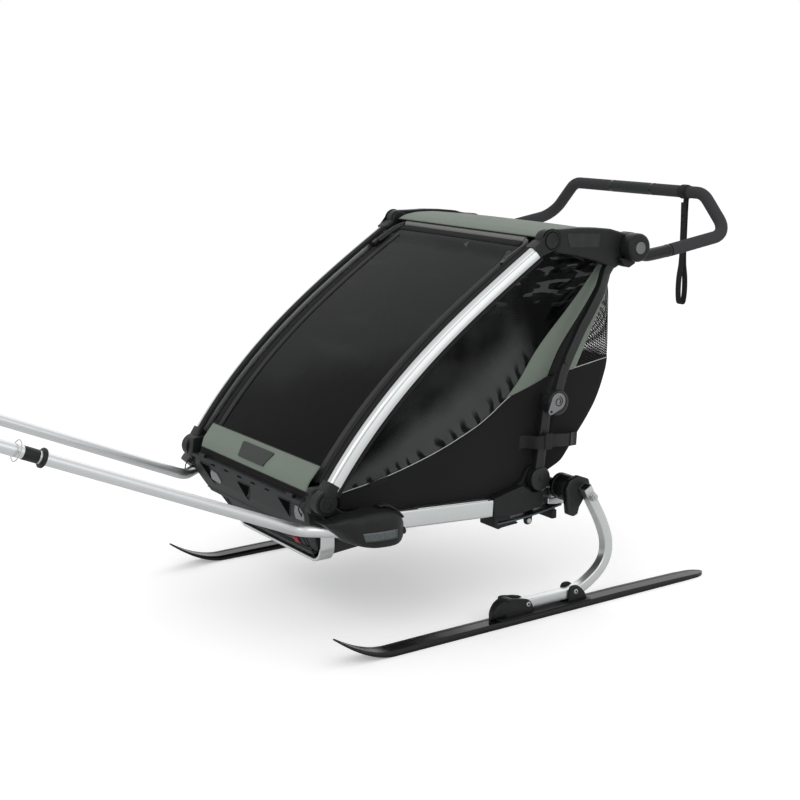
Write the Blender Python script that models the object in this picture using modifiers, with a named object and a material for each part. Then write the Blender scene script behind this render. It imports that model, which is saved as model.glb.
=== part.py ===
"""Two-seat child trailer fitted with its ski kit: a folding aluminium and moulded frame under fabric.

Lengths are metres. X is across the trailer, Y runs from front to back, Z is up, and the skis stand on Z = 0.
Points written as pairs are (y, z) in the side view, measured from the front pivot's own Y. One empty at
CENTRE_SHIFT moves the whole trailer so that the box around it is centred on the origin.
"""

import math

import bmesh
import bpy
from mathutils import Matrix, Vector

# Driving dimensions of the folding frame
CENTRE_SHIFT = 0.1262
FRONT_PIVOT = (0.0, 0.360)
TOP_PIVOT = (0.648, 0.921)
REAR_PIVOT = (0.628, 0.323)
FOLD_PIVOT = (0.655, 0.521)
HANDLE_PIVOT = (0.909, 0.890)
ARM_PIVOT = (0.640, 0.262)
AXLE = (0.703, 0.292)
PILLAR_BOW = 0.050
PLAY = 0.0005

# Where each layer of the frame stands, measured out from the middle plane
CORNER_PLATE = (0.2890, 0.3145)
FOOT_PLATE = (0.3158, 0.3436)
PILLAR_MIDDLE = 0.3265
RAIL = (0.3150, 0.3370)
HOUSING = (0.3165, 0.3440)
HUB_SEAT = 0.3370
HUB = (0.3376, 0.3826)
POST_LINE = 0.3610
STRUT_PLATE = (0.3220, 0.3440)
CASTING_PLATE = (0.3000, 0.3205)
ARM_PLATE = (0.2700, 0.2920)
LEG_LINE = 0.4140

# Tubes and skis
HANDLE_RADIUS = 0.0165
SLEEVE_RADIUS = 0.0160
POST_HALF = (0.0100, 0.0125)
CROSS_TUBE_RADIUS = 0.0125
ROLLER_RADIUS = 0.0095
POLE_RADIUS = 0.0140
POLE_BEND = Vector((0.297, -0.0445, 0.292))
POLE_ROOT = Vector((0.3650, 0.0416, 0.2920))
POLE_DIRECTION = Vector((0.012, -0.9167, 0.3995)).normalized()
POLE_TURN = 0.060
POLE_JOINT = 0.665
POLE_LENGTH = 1.600
SKI_LINE = 0.4235
SKI_HALF = 0.0255
SKI_THICKNESS = 0.014
SKI_TIP_Y = -0.036
SKI_TAIL_Y = 1.134
LEG_SIDE = 0.026

OBJECT_NAME = "child_trailer"
SIDES = ("right", "left")


def clear_scene():
    """Remove every object that the scene starts with."""
    for existing in list(bpy.data.objects):
        bpy.data.objects.remove(existing, do_unlink=True)


def new_collection(name):
    """A collection under the scene's own."""
    group = bpy.data.collections.new(name)
    bpy.context.scene.collection.children.link(group)
    return group


clear_scene()
PARTS = new_collection(OBJECT_NAME)
CUTTERS = new_collection("cutters")
FINISHES = {}
EMPTIES = {}


def finish(name, colour, roughness, metallic=0.0, alpha=1.0):
    """Store one Principled material under a plain name."""
    material = bpy.data.materials.new(name)
    material.use_nodes = True
    shader = material.node_tree.nodes["Principled BSDF"]
    shader.inputs["Base Color"].default_value = (*colour, 1.0)
    shader.inputs["Roughness"].default_value = roughness
    shader.inputs["Metallic"].default_value = metallic
    shader.inputs["Alpha"].default_value = alpha
    FINISHES[name] = material


def make_finishes():
    """The colours, roughness and metallic values of the trailer's materials."""
    finish("brushed_aluminium", (0.72, 0.73, 0.73), 0.32, 1.0)
    finish("black_moulding", (0.030, 0.031, 0.033), 0.50)
    finish("black_tube", (0.034, 0.035, 0.037), 0.45)
    finish("grey_foam", (0.062, 0.062, 0.064), 0.90)
    finish("grey_button", (0.170, 0.172, 0.176), 0.45)
    finish("grey_lever", (0.400, 0.405, 0.410), 0.38, 0.7)
    finish("sage_fabric", (0.205, 0.235, 0.205), 0.85)
    finish("black_fabric", (0.014, 0.014, 0.015), 0.90)
    finish("tinted_window", (0.020, 0.022, 0.022), 0.12, 0.0, 0.55)
    finish("black_ski", (0.014, 0.013, 0.013), 0.18)
    finish("spring_steel", (0.080, 0.088, 0.092), 0.40, 0.8)


def empty(name, position, parent=None):
    """An empty that stands on a joint's axis and carries the pieces of one body."""
    holder = bpy.data.objects.new(name + "_pivot", None)
    holder.empty_display_size = 0.05
    PARTS.objects.link(holder)
    holder.location = position
    if parent:
        holder.parent = parent
        holder.location = Vector(position) - world_of(parent)
    EMPTIES[name] = holder
    return holder


def world_of(holder):
    """Place of an empty in the trailer's own frame, added up along its parents."""
    place = Vector(holder.location)
    while holder.parent:
        holder = holder.parent
        place += holder.location
    return place


def settle(item, name, material, body, smooth_angle=35.0):
    """Name a piece, give it its own material, shade it and hang it on its body's empty."""
    item.name = name
    own = FINISHES[material].copy()
    own.name = name + "_" + material
    item.data.materials.clear()
    item.data.materials.append(own)
    if item.type == "MESH":
        item.data.shade_smooth()
        item.data.set_sharp_from_angle(angle=math.radians(smooth_angle))
    holder = EMPTIES[body]
    helpers = [step.object for step in item.modifiers if step.type == "BOOLEAN"]
    for member in (item, *helpers):
        member.parent = holder
        member.location = Vector(member.location) - world_of(holder)
    return item


def object_from_mesh(mesh, name, group=None):
    """An object for a mesh, linked to the parts unless another collection is given."""
    item = bpy.data.objects.new(name, mesh)
    (group or PARTS).objects.link(item)
    return item


def as_mesh(curve_item):
    """Turn a curve object into a mesh object at the same place, with its caps welded on."""
    bpy.context.view_layer.update()
    graph = bpy.context.evaluated_depsgraph_get()
    mesh = bpy.data.meshes.new_from_object(curve_item.evaluated_get(graph))
    shape = bmesh.new()
    shape.from_mesh(mesh)
    bmesh.ops.remove_doubles(shape, verts=shape.verts, dist=1e-6)
    shape.to_mesh(mesh)
    shape.free()
    item = object_from_mesh(mesh, curve_item.name + "_mesh")
    item.matrix_world = curve_item.matrix_world.copy()
    bpy.data.objects.remove(curve_item, do_unlink=True)
    return item


def arc(centre, radius, start, end, steps=8):
    """Points of a circular arc, with angles in degrees counted from the first axis to the second."""
    points = []
    for step in range(steps + 1):
        angle = math.radians(start + (end - start) * step / steps)
        points.append((centre[0] + radius * math.cos(angle), centre[1] + radius * math.sin(angle)))
    return points


def ring_points(centre, radius, steps=20):
    """A full circle as a closed list of points."""
    return arc(centre, radius, 0, 360, steps)[:-1]


def plate(outline, inner, outer, holes=(), bevel=0.0, axis="X"):
    """A flat outline with holes, as thick as from inner to outer along an axis.

    Along X the outline is (y, z); along Y it is (x, z); along Z it is (x, y).
    """
    curve = bpy.data.curves.new("outline", "CURVE")
    curve.dimensions = "2D"
    curve.fill_mode = "BOTH"
    curve.extrude = (outer - inner) / 2
    for points in (outline, *holes):
        spline = curve.splines.new("POLY")
        spline.points.add(len(points) - 1)
        for point, (a, b) in zip(spline.points, points):
            point.co = (a, b, 0.0, 1.0)
        spline.use_cyclic_u = True
    item = bpy.data.objects.new("outline", curve)
    PARTS.objects.link(item)
    middle = (inner + outer) / 2
    turn = {
        "X": Matrix(((0, 0, 1, middle), (1, 0, 0, 0), (0, 1, 0, 0), (0, 0, 0, 1))),
        "Y": Matrix(((1, 0, 0, 0), (0, 0, -1, middle), (0, 1, 0, 0), (0, 0, 0, 1))),
        "Z": Matrix(((1, 0, 0, 0), (0, 1, 0, 0), (0, 0, 1, middle), (0, 0, 0, 1))),
    }[axis]
    item.matrix_world = turn
    solid = as_mesh(item)
    solid.data.transform(solid.matrix_world)
    solid.matrix_world = Matrix.Identity(4)
    if bevel:
        edge = solid.modifiers.new("edges", "BEVEL")
        edge.width = bevel
        edge.segments = 1
        edge.limit_method = "ANGLE"
        edge.angle_limit = math.radians(50)
    return solid


def loft(rings, name="loft"):
    """A closed skin over rings of equal point counts, with both ends capped."""
    shape = bmesh.new()
    rows = [[shape.verts.new(point) for point in ring] for ring in rings]
    count = len(rows[0])
    for near, far in zip(rows, rows[1:]):
        for i in range(count):
            j = (i + 1) % count
            shape.faces.new((near[i], near[j], far[j], far[i]))
    shape.faces.new(rows[0][::-1])
    shape.faces.new(rows[-1])
    bmesh.ops.recalc_face_normals(shape, faces=shape.faces)
    mesh = bpy.data.meshes.new(name)
    shape.to_mesh(mesh)
    shape.free()
    return object_from_mesh(mesh, name)


def side_sweep(path, section_at, middle):
    """Carry a section along a side-view path. A section holds (across, outward) pairs.

    Outward is the path's left-hand normal, so a path that climbs to the back faces up and forward.
    """
    rings = []
    last = len(path) - 1
    for i, (y, z) in enumerate(path):
        before = path[max(i - 1, 0)]
        after = path[min(i + 1, last)]
        along = Vector((after[0] - before[0], after[1] - before[1])).normalized()
        normal = Vector((-along.y, along.x))
        ring = []
        for across, outward in section_at(i / last):
            ring.append((middle + across, y + normal.x * outward, z + normal.y * outward))
        rings.append(ring)
    return loft(rings)


def spline_points(points, steps):
    """Points of a smooth Catmull-Rom curve through the given ones, in two or three dimensions."""
    knots = [Vector(point) for point in points]
    knots = [knots[0] * 2 - knots[1], *knots, knots[-1] * 2 - knots[-2]]
    smooth = []
    for a, b, c, d in zip(knots, knots[1:], knots[2:], knots[3:]):
        for step in range(steps):
            t = step / steps
            smooth.append(
                0.5 * (2 * b + (c - a) * t + (2 * a - 5 * b + 4 * c - d) * t**2
                       + (3 * b - a - 3 * c + d) * t**3)
            )
    smooth.append(knots[-2])
    return smooth


def rounded_path(points, radius, steps=5):
    """A path with straight runs whose inner corners are turned with one radius."""
    knots = [Vector(point) for point in points]
    path = [knots[0]]
    for before, corner, after in zip(knots, knots[1:], knots[2:]):
        first = (before - corner).normalized()
        second = (after - corner).normalized()
        half = first.angle(second) / 2
        setback = radius / math.tan(half)
        centre = corner + (first + second).normalized() * (radius / math.sin(half))
        start = corner + first * setback - centre
        end = corner + second * setback - centre
        for step in range(steps + 1):
            path.append(centre + start.slerp(end, step / steps).normalized() * radius)
    path.append(knots[-1])
    return path


def tube(points, radius, resolution=3):
    """A round tube along a path, with flat ends, as a mesh."""
    curve = bpy.data.curves.new("tube", "CURVE")
    curve.dimensions = "3D"
    curve.bevel_depth = radius
    curve.bevel_resolution = resolution
    curve.use_fill_caps = True
    spline = curve.splines.new("POLY")
    spline.points.add(len(points) - 1)
    for point, place in zip(spline.points, points):
        point.co = (*place, 1.0)
    item = bpy.data.objects.new("tube", curve)
    PARTS.objects.link(item)
    return as_mesh(item)


def rod(start, end, radius, segments=16):
    """A cylinder from one point to another."""
    start, end = Vector(start), Vector(end)
    shape = bmesh.new()
    bmesh.ops.create_cone(
        shape, cap_ends=True, segments=segments, radius1=radius, radius2=radius, depth=(end - start).length
    )
    turn = Vector((0, 0, 1)).rotation_difference(end - start).to_matrix().to_4x4()
    bmesh.ops.transform(shape, matrix=Matrix.Translation((start + end) / 2) @ turn, verts=shape.verts)
    mesh = bpy.data.meshes.new("rod")
    shape.to_mesh(mesh)
    shape.free()
    return object_from_mesh(mesh, "rod")


def turned(profile, centre, segments=20):
    """A solid turned about the X axis through (y, z). The profile holds (x, radius) from inner to outer."""
    rings = []
    for x, radius in profile:
        rings.append([(x, y, z) for y, z in ring_points(centre, radius, segments)])
    return loft(rings)


def block(low, high):
    """A box between two corners."""
    low, high = Vector(low), Vector(high)
    shape = bmesh.new()
    bmesh.ops.create_cube(shape, size=1.0)
    size = high - low
    place = Matrix.Translation((low + high) / 2) @ Matrix.Diagonal((*size, 1.0))
    bmesh.ops.transform(shape, matrix=place, verts=shape.verts)
    mesh = bpy.data.meshes.new("block")
    shape.to_mesh(mesh)
    shape.free()
    return object_from_mesh(mesh, "block")


def boolean(target, helpers, operation):
    """Join helpers to a target, or cut them from it, and keep them as hidden wire objects."""
    for helper in helpers:
        for group in list(helper.users_collection):
            group.objects.unlink(helper)
        CUTTERS.objects.link(helper)
        helper.name = "cutter"
        helper.hide_render = True
        helper.display_type = "WIRE"
        step = target.modifiers.new(operation.lower(), "BOOLEAN")
        step.operation = operation
        step.solver = "EXACT"
        step.object = helper
    return target


def join(target, *helpers):
    """Fuse shapes that overlap into one body."""
    return boolean(target, helpers, "UNION")


def cut(target, *helpers):
    """Take shapes away from a body."""
    return boolean(target, helpers, "DIFFERENCE")


def mirrored(source, name, body):
    """The left-hand copy of a right-hand piece: its evaluated mesh, turned over the middle plane."""
    bpy.context.view_layer.update()
    graph = bpy.context.evaluated_depsgraph_get()
    mesh = bpy.data.meshes.new_from_object(source.evaluated_get(graph))
    holder = EMPTIES[body]
    right_place = Matrix.Translation(world_of(source.parent) + source.location)
    mesh.transform(Matrix.Translation(-world_of(holder)) @ Matrix.Diagonal((-1, 1, 1, 1)) @ right_place)
    mesh.flip_normals()
    item = object_from_mesh(mesh, name)
    item.parent = holder
    own = source.data.materials[0].copy()
    own.name = name + "_finish"
    mesh.materials.clear()
    mesh.materials.append(own)
    mesh.shade_smooth()
    mesh.set_sharp_from_angle(angle=math.radians(35))
    return item


def pillar_point(share, outward=0.0):
    """A point on the bowed line of a front pillar. Share runs from the front pivot to the top pivot.

    The line is the chord between the pivots, pushed forward by PILLAR_BOW times a skewed half sine.
    """
    start = Vector(FRONT_PIVOT)
    chord = Vector(TOP_PIVOT) - start
    normal = Vector((-chord.y, chord.x)).normalized()
    bow = PILLAR_BOW * math.sin(math.pi * max(share, 0.0) ** 0.8)
    return start + chord * share + normal * (bow + outward)


def pillar_line(start, end, steps, outward=0.0):
    """A run of points along the front pillar."""
    return [tuple(pillar_point(start + (end - start) * i / steps, outward)) for i in range(steps + 1)]


def superellipse(half_width, half_height, power=4.0, count=16):
    """A rounded box outline: cosine and sine raised to 2 / power, keeping their signs."""
    points = []
    for i in range(count):
        angle = 2 * math.pi * (i + 0.5) / count
        c, s = math.cos(angle), math.sin(angle)
        points.append(
            (half_width * math.copysign(abs(c) ** (2 / power), c),
             half_height * math.copysign(abs(s) ** (2 / power), s))
        )
    return points


def eye_outline(centre, radius, toward, width, steps=10):
    """A round eye with a straight arm that leaves it towards a point, as a (y, z) outline."""
    centre, toward = Vector(centre), Vector(toward)
    direction = (toward - centre).normalized()
    side = Vector((-direction.y, direction.x))
    bearing = math.degrees(math.atan2(direction.y, direction.x))
    half = math.degrees(math.asin(min(width / 2 / radius, 0.98)))
    round_end = arc(centre, radius, bearing + half, bearing + 360 - half, steps)
    first = toward - side * (width / 2)
    second = toward + side * (width / 2)
    return [*round_end, tuple(first), tuple(second)]


# The running gear: axle, ski legs and skis


def axle_beam():
    """The axle tube with a drum, a leg bracket and a trailing arm at each end, joined into one beam."""
    drum = turned([(0.330, 0.025), (0.334, 0.031), (0.380, 0.031), (0.384, 0.027)], AXLE, 20)
    bracket_outline = [
        (0.668, 0.300), (0.681, 0.322), (0.711, 0.330), (0.742, 0.318), (0.748, 0.300), (0.728, 0.268),
        (0.713, 0.248), (0.708, 0.230), (0.694, 0.226), (0.676, 0.234), (0.672, 0.262),
    ]
    bracket = plate(bracket_outline, 0.3835, 0.4005, bevel=0.0015)
    arm = plate(
        eye_outline(ARM_PIVOT, 0.015, AXLE, 0.022),
        *ARM_PLATE,
        holes=[ring_points(ARM_PIVOT, 0.0085, 16)],
    )
    arm_seat = block((0.268, 0.690, 0.270), (0.296, 0.722, 0.312))
    spring_foot = plate(
        [(0.716, 0.252), (0.738, 0.254), (0.742, 0.280), (0.722, 0.292), (0.700, 0.285), (0.700, 0.262)],
        0.300, 0.3345,
    )
    column = block((0.2725, 0.6930, 0.2060), (0.2985, 0.7190, 0.2760))
    foot = block((0.2745, 0.6840, 0.2035), (0.3270, 0.7000, 0.2265))
    sides = [drum, bracket, arm, arm_seat, spring_foot, column, foot]
    left = []
    for piece in sides:
        bpy.context.view_layer.update()
        copy = object_from_mesh(
            bpy.data.meshes.new_from_object(piece.evaluated_get(bpy.context.evaluated_depsgraph_get())), "left"
        )
        copy.data.transform(Matrix.Diagonal((-1, 1, 1, 1)))
        copy.data.flip_normals()
        left.append(copy)
    beam = rod((-0.332, *AXLE), (0.332, *AXLE), CROSS_TUBE_RADIUS, 20)
    return settle(join(beam, *sides, *left), "axle_beam", "black_moulding", "running_gear")


def ski_leg():
    """The square tube that drops from the axle bracket and turns forward along the ski."""
    line = [
        (0.7165, 0.3045), (0.7440, 0.2560), (0.7660, 0.2175), (0.7810, 0.1850), (0.7900, 0.1585),
        (0.7925, 0.1300), (0.7870, 0.1060), (0.7720, 0.0835), (0.7470, 0.0635), (0.7120, 0.0445),
        (0.6750, 0.0355), (0.6400, 0.0345), (0.4560, 0.0345),
    ]
    half = LEG_SIDE / 2
    corner = 0.0035
    section = []
    for across, outward, start in ((1, 1, 0), (-1, 1, 90), (-1, -1, 180), (1, -1, 270)):
        middle = (across * (half - corner), outward * (half - corner))
        section += arc(middle, corner, start, start + 90, 1)
    path = [tuple(point) for point in spline_points(line, 2)]
    return settle(side_sweep(path, lambda share: section, LEG_LINE), "ski_leg_right", "brushed_aluminium",
                  "running_gear")


def ski():
    """A short ski, lofted along its length: turned-up rounded tip, flat sole and pointed tail."""
    stations = (
        (0.000, 0.12, 0.0640, 0.005),
        (0.012, 0.55, 0.0560, 0.006),
        (0.030, 0.78, 0.0430, 0.007),
        (0.058, 0.92, 0.0240, 0.008),
        (0.092, 0.98, 0.0090, 0.010),
        (0.130, 1.00, 0.0010, 0.012),
        (0.150, 1.00, 0.0000, 0.013),
        (0.300, 1.00, 0.0000, SKI_THICKNESS),
        (0.860, 1.00, 0.0000, SKI_THICKNESS),
        (1.080, 1.00, 0.0000, 0.010),
        (1.135, 0.94, 0.0000, 0.008),
        (1.155, 0.70, 0.0000, 0.007),
        (SKI_TAIL_Y - SKI_TIP_Y, 0.18, 0.0000, 0.006),
    )
    rings = []
    for along, share, low, thick in stations:
        y = SKI_TIP_Y + along
        half = SKI_HALF * share
        edge = low + 0.55 * thick
        rings.append(
            [(SKI_LINE + x, y, z) for x, z in (
                (-half, low), (half, low), (half, edge), (0.78 * half, low + thick),
                (-0.78 * half, low + thick), (-half, edge))]
        )
    return settle(loft(rings), "ski_right", "black_ski", "running_gear")


def ski_binding():
    """The moulded shoe that bolts the leg to the ski: toe cap, base plate and rear cradle."""
    low = SKI_THICKNESS + PLAY
    top = low + 0.0025
    inner = LEG_SIDE / 2 + PLAY
    outer = inner + 0.0065
    base = block((SKI_LINE - 0.0245, 0.4300, low), (SKI_LINE + 0.0225, 0.7220, top))
    toe = plate(
        [(0.4200, low + 0.0006), (0.4205, 0.0340), (0.4270, 0.0440), (0.4460, 0.0560), (0.4680, 0.0615),
         (0.4900, 0.0595), (0.5130, 0.0540), (0.5290, 0.0470), (0.5410, low + 0.0006)],
        LEG_LINE - outer, LEG_LINE + outer, bevel=0.0012,
    )
    rear = plate(
        [(0.6560, low + 0.0006), (0.6590, 0.0500), (0.6640, 0.0555), (0.6740, 0.0570), (0.6880, 0.0530),
         (0.7070, 0.0350), (0.7170, low + 0.0006)],
        LEG_LINE - outer, LEG_LINE + outer, bevel=0.0012,
    )
    toe_pocket = block((LEG_LINE - inner, 0.4554, top + 0.0003), (LEG_LINE + inner, 0.5600, 0.0485))
    cradle = block((LEG_LINE - inner, 0.6500, top + 0.0003), (LEG_LINE + inner, 0.7600, 0.0900))
    return settle(cut(join(base, toe, rear), toe_pocket, cradle), "ski_binding_right", "black_moulding",
                  "running_gear")


# The chassis: rails, corners, tub, hitch wings and rear castings


def side_rail():
    """The rounded rectangular rail that joins the front corner to the rear casting."""
    half_width = (RAIL[1] - RAIL[0]) / 2
    section = superellipse(half_width, 0.0220, 6.0, 16)
    path = [(0.0480, 0.2945), (0.4840, 0.2665)]
    return settle(
        side_sweep(path, lambda share: section, sum(RAIL) / 2), "side_rail_right", "brushed_aluminium", "chassis"
    )


def front_bumper():
    """The flat aluminium strip bent into a U under the front of the footwell."""
    outer_half, bottom, top, turn, thick = 0.2100, 0.1650, 0.3000, 0.040, 0.0070
    outline = [(outer_half, top), *arc((outer_half - turn, bottom + turn), turn, 0, -90, 8)]
    outline += [(-x, z) for x, z in reversed(outline)]
    inner = [(outer_half - thick, top), *arc((outer_half - turn, bottom + turn), turn - thick, 0, -90, 8)]
    inner += [(-x, z) for x, z in reversed(inner)]
    bent = plate([*outline, *reversed(inner)], 0.0620, 0.1020, axis="Y", bevel=0.0012)
    return settle(bent, "front_bumper", "brushed_aluminium", "chassis")


def footwell_tub():
    """The moulded front beam with its three triangular pockets, and the lipped floor that runs back from it."""
    beam = plate(
        [(-0.0230, 0.3470), (-0.0060, 0.3500), (0.0100, 0.3440), (0.0240, 0.2700), (0.0270, 0.2500),
         (0.0080, 0.2520), (-0.0120, 0.2950)],
        -0.2884, 0.2884, bevel=0.0020,
    )
    line = [(0.0160, 0.2580), (0.0440, 0.2080), (0.0520, 0.1965), (0.0640, 0.1800), (0.1020, 0.1775),
            (0.1800, 0.1900), (0.2600, 0.2250), (0.3400, 0.2620), (0.6000, 0.2700)]
    widths = (0.2500, 0.2220, 0.2005, 0.2005, 0.2005, 0.2150, 0.2500, 0.2700, 0.2700)
    lips = (0.0040, 0.0040, 0.0080, 0.0380, 0.0380, 0.0300, 0.0200, 0.0060, 0.0060)

    def floor_section(share):
        row = round(share * (len(widths) - 1))
        half, lip = widths[row], lips[row]
        outer = [(-half, lip), (-half + 0.0180, -0.0015), (half - 0.0180, -0.0015), (half, lip)]
        inner = [(half - 0.0030, lip), (half - 0.0195, 0.0015), (-half + 0.0195, 0.0015), (-half + 0.0030, lip)]
        return [*outer, *inner]

    floor = side_sweep(line, floor_section, 0.0)
    wall_outline = [(0.0180, 0.2580), (0.0450, 0.2085), (0.0580, 0.2055), (0.1060, 0.2050), (0.1800, 0.1965),
                    (0.2600, 0.2245), (0.3400, 0.2620), (0.3400, 0.2960), (0.0180, 0.2960)]
    walls = [plate(wall_outline, *span) for span in ((-0.2025, -0.1990), (0.1990, 0.2025))]
    pockets = []
    for corners in (
        [(-0.284, 0.3275), (-0.231, 0.324), (-0.225, 0.285)],
        [(-0.093, 0.311), (-0.045, 0.310), (-0.046, 0.282)],
        [(0.125, 0.328), (0.191, 0.331), (0.168, 0.284)],
    ):
        pockets.append(plate(corners, -0.0500, 0.0020, axis="Y"))
    for sign in (1, -1):
        corners = [(sign * 0.300, 0.320), (sign * 0.300, 0.240), (sign * 0.243, 0.240)]
        pockets.append(plate(corners, -0.0500, 0.0290, axis="Y"))
    return settle(cut(join(beam, floor, *walls), *pockets), "footwell_tub", "black_moulding", "chassis")


def front_corner():
    """The casting that holds the pillar's pin, takes the rail's end and carries the hitch wing."""
    outline = [
        *arc(FRONT_PIVOT, 0.0300, -60, 200, 12),
        (-0.0180, 0.3300), (0.0140, 0.3180), (0.0140, 0.2780), (0.0300, 0.2680), (0.1080, 0.2700),
        (0.1180, 0.2860), (0.1080, 0.3160), (0.0560, 0.3240),
    ]
    body = plate(outline, *CORNER_PLATE, bevel=0.0015)
    pin = rod((0.3120, *FRONT_PIVOT), (0.3460, *FRONT_PIVOT), 0.0075)
    cap = turned([(0.3442, 0.0210), (0.3472, 0.0210), (0.3490, 0.0190)], FRONT_PIVOT, 24)
    return settle(join(body, pin, cap), "front_corner_right", "black_moulding", "chassis")


def hitch_wing():
    """The wing-shaped receiver for a tow pole: rounded boxes, leaned forward at the nose, down to a thin tail."""
    stations = (
        (0.0080, 0.3450, 0.0300, 0.2940, 0.0260, 1.10),
        (0.0220, 0.3615, 0.0340, 0.2950, 0.0300, 0.85),
        (0.0430, 0.3760, 0.0360, 0.2980, 0.0365, 0.50),
        (0.0650, 0.3790, 0.0390, 0.2980, 0.0400, 0.20),
        (0.0900, 0.3815, 0.0420, 0.2985, 0.0435, 0.00),
        (0.1200, 0.3830, 0.0435, 0.2975, 0.0440, 0.00),
        (0.1400, 0.3830, 0.0425, 0.2960, 0.0420, 0.00),
        (0.1550, 0.3790, 0.0385, 0.2925, 0.0365, 0.00),
        (0.1680, 0.3730, 0.0315, 0.2880, 0.0290, 0.00),
        (0.1780, 0.3680, 0.0245, 0.2855, 0.0195, 0.00),
        (0.1860, 0.3640, 0.0160, 0.2840, 0.0110, 0.00),
    )
    rings = []
    for y, x, half_width, z, half_height, lean in stations:
        ring = []
        for a, b in superellipse(half_width, half_height, 3.6, 16):
            ring.append((x + a, y - lean * (z + b - 0.2920), z + b))
        rings.append(ring)
    wing = loft(rings)
    way_in = (POLE_BEND - POLE_ROOT).normalized()
    bore_line = [POLE_ROOT - way_in * 0.0006, POLE_BEND, POLE_BEND + POLE_DIRECTION * 0.1200]
    socket = tube(rounded_path(bore_line, POLE_TURN, 6), POLE_RADIUS + 0.0006, 3)
    return settle(cut(wing, socket), "hitch_wing_right", "black_moulding", "chassis")


def wing_lever():
    """The release lever that lies on the wing's back and lifts from its rear end."""
    outline = [
        (0.1120, 0.3440), (0.1290, 0.3436), (0.1400, 0.3400), (0.1550, 0.3310), (0.1680, 0.3192),
        (0.1780, 0.3075), (0.1828, 0.3112), (0.1722, 0.3232), (0.1586, 0.3356), (0.1428, 0.3448),
        (0.1310, 0.3490), (0.1130, 0.3495),
    ]
    return settle(plate(outline, 0.3660, 0.3900, bevel=0.0010), "wing_lever_right", "black_moulding",
                  "wing_lever_right")


def rear_casting():
    """The casting behind the rail: strut pin, arm pivot, cross tube seat and the leaf spring's clamp."""
    inner = plate(
        [(0.4885, 0.2880), (0.5400, 0.2920), (0.5900, 0.3180), *arc(REAR_PIVOT, 0.0300, 150, -40, 10),
         (0.6600, 0.2680), (0.6600, 0.2395), (0.5300, 0.2345), (0.4885, 0.2400)],
        *CASTING_PLATE, bevel=0.0015,
    )
    outer = plate(
        [(0.4870, 0.2420), (0.4870, 0.2895), (0.5230, 0.2985), (0.5800, 0.3105), (0.6000, 0.2995),
         (0.6130, 0.2890), (0.6470, 0.2860), (0.6470, 0.2480), (0.5810, 0.2390), (0.5300, 0.2370)],
        0.3150, 0.3375, bevel=0.0015,
    )
    pin = rod((0.3180, *REAR_PIVOT), (0.3500, *REAR_PIVOT), 0.0085)
    cap = turned([(0.3486, 0.0120), (0.3500, 0.0120), (0.3512, 0.0105)], REAR_PIVOT, 20)
    stub = rod((0.2680, *ARM_PIVOT), (0.3050, *ARM_PIVOT), 0.0075)
    clamp = plate(
        [(0.4935, 0.2140), (0.5050, 0.2085), (0.5150, 0.2110), (0.5660, 0.2140), (0.5665, 0.2590),
         (0.4935, 0.2570)],
        0.3008, 0.3340,
    )
    clamp_back = block((0.2730, 0.4975, 0.2125), (0.3065, 0.5560, 0.2420))
    slot = block((0.2900, 0.5010, 0.2185), (0.3450, 0.5800, 0.2295))
    lug = plate([(0.6110, 0.2520), (0.6160, 0.2030), *arc((0.6270, 0.2030), 0.0110, 190, 350, 8), (0.6420, 0.2520)],
                0.2960, 0.3030)
    body = join(inner, outer, pin, cap, stub, clamp, clamp_back, lug)
    return settle(cut(body, slot), "rear_casting_right", "black_moulding", "chassis")


def leaf_spring():
    """The flat leaf from the clamp under the casting to the axle's spring foot."""
    line = [(0.5020, 0.2218), (0.5500, 0.2238), (0.6200, 0.2300), (0.6900, 0.2365), (0.7350, 0.2450)]
    path = [tuple(point) for point in spline_points(line, 3)]
    section = [(-0.0110, -0.0025), (0.0110, -0.0025), (0.0110, 0.0025), (-0.0110, 0.0025)]
    return settle(side_sweep(path, lambda share: section, 0.3160), "leaf_spring_right", "spring_steel", "chassis")


def rear_cross_tube():
    """The tube that ties the rear castings together under the cabin floor."""
    reach = CASTING_PLATE[0] - PLAY
    return settle(
        rod((-reach, 0.5550, 0.2550), (reach, 0.5550, 0.2550), 0.0110), "rear_cross_tube", "black_tube", "chassis"
    )


# The tow poles


def pole_rear():
    """The rear half of a tow pole: bent root, straight run, stop collar and the spigot of the joint."""
    joint = POLE_BEND + POLE_DIRECTION * POLE_JOINT
    path = rounded_path([POLE_ROOT, POLE_BEND, joint], POLE_TURN, 6)
    body = tube(path, POLE_RADIUS, 3)
    collar = rod(joint - POLE_DIRECTION * 0.008, joint, 0.0215, 20)
    spigot = rod(joint - POLE_DIRECTION * 0.004, joint + POLE_DIRECTION * 0.032, 0.0102, 16)
    return settle(join(body, collar, spigot), "pole_rear_right", "brushed_aluminium", "chassis")


def pole_front():
    """The front half of a tow pole, bored for the spigot and closed by a round plug at its tip."""
    start = POLE_BEND + POLE_DIRECTION * (POLE_JOINT + PLAY)
    tip = POLE_BEND + POLE_DIRECTION * (POLE_LENGTH - 0.012)
    body = rod(start, tip, POLE_RADIUS, 20)
    plug = rod(tip - POLE_DIRECTION * 0.006, tip + POLE_DIRECTION * 0.012, 0.0158, 20)
    bore = rod(start - POLE_DIRECTION * 0.010, start + POLE_DIRECTION * 0.036, 0.0108, 16)
    cross = start + POLE_DIRECTION * 0.052
    hole = rod(cross - Vector((0.030, 0, 0)), cross + Vector((0.030, 0, 0)), 0.0028, 12)
    return settle(cut(join(body, plug), bore, hole), "pole_front_right", "brushed_aluminium",
                  "pole_front_right")


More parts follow.
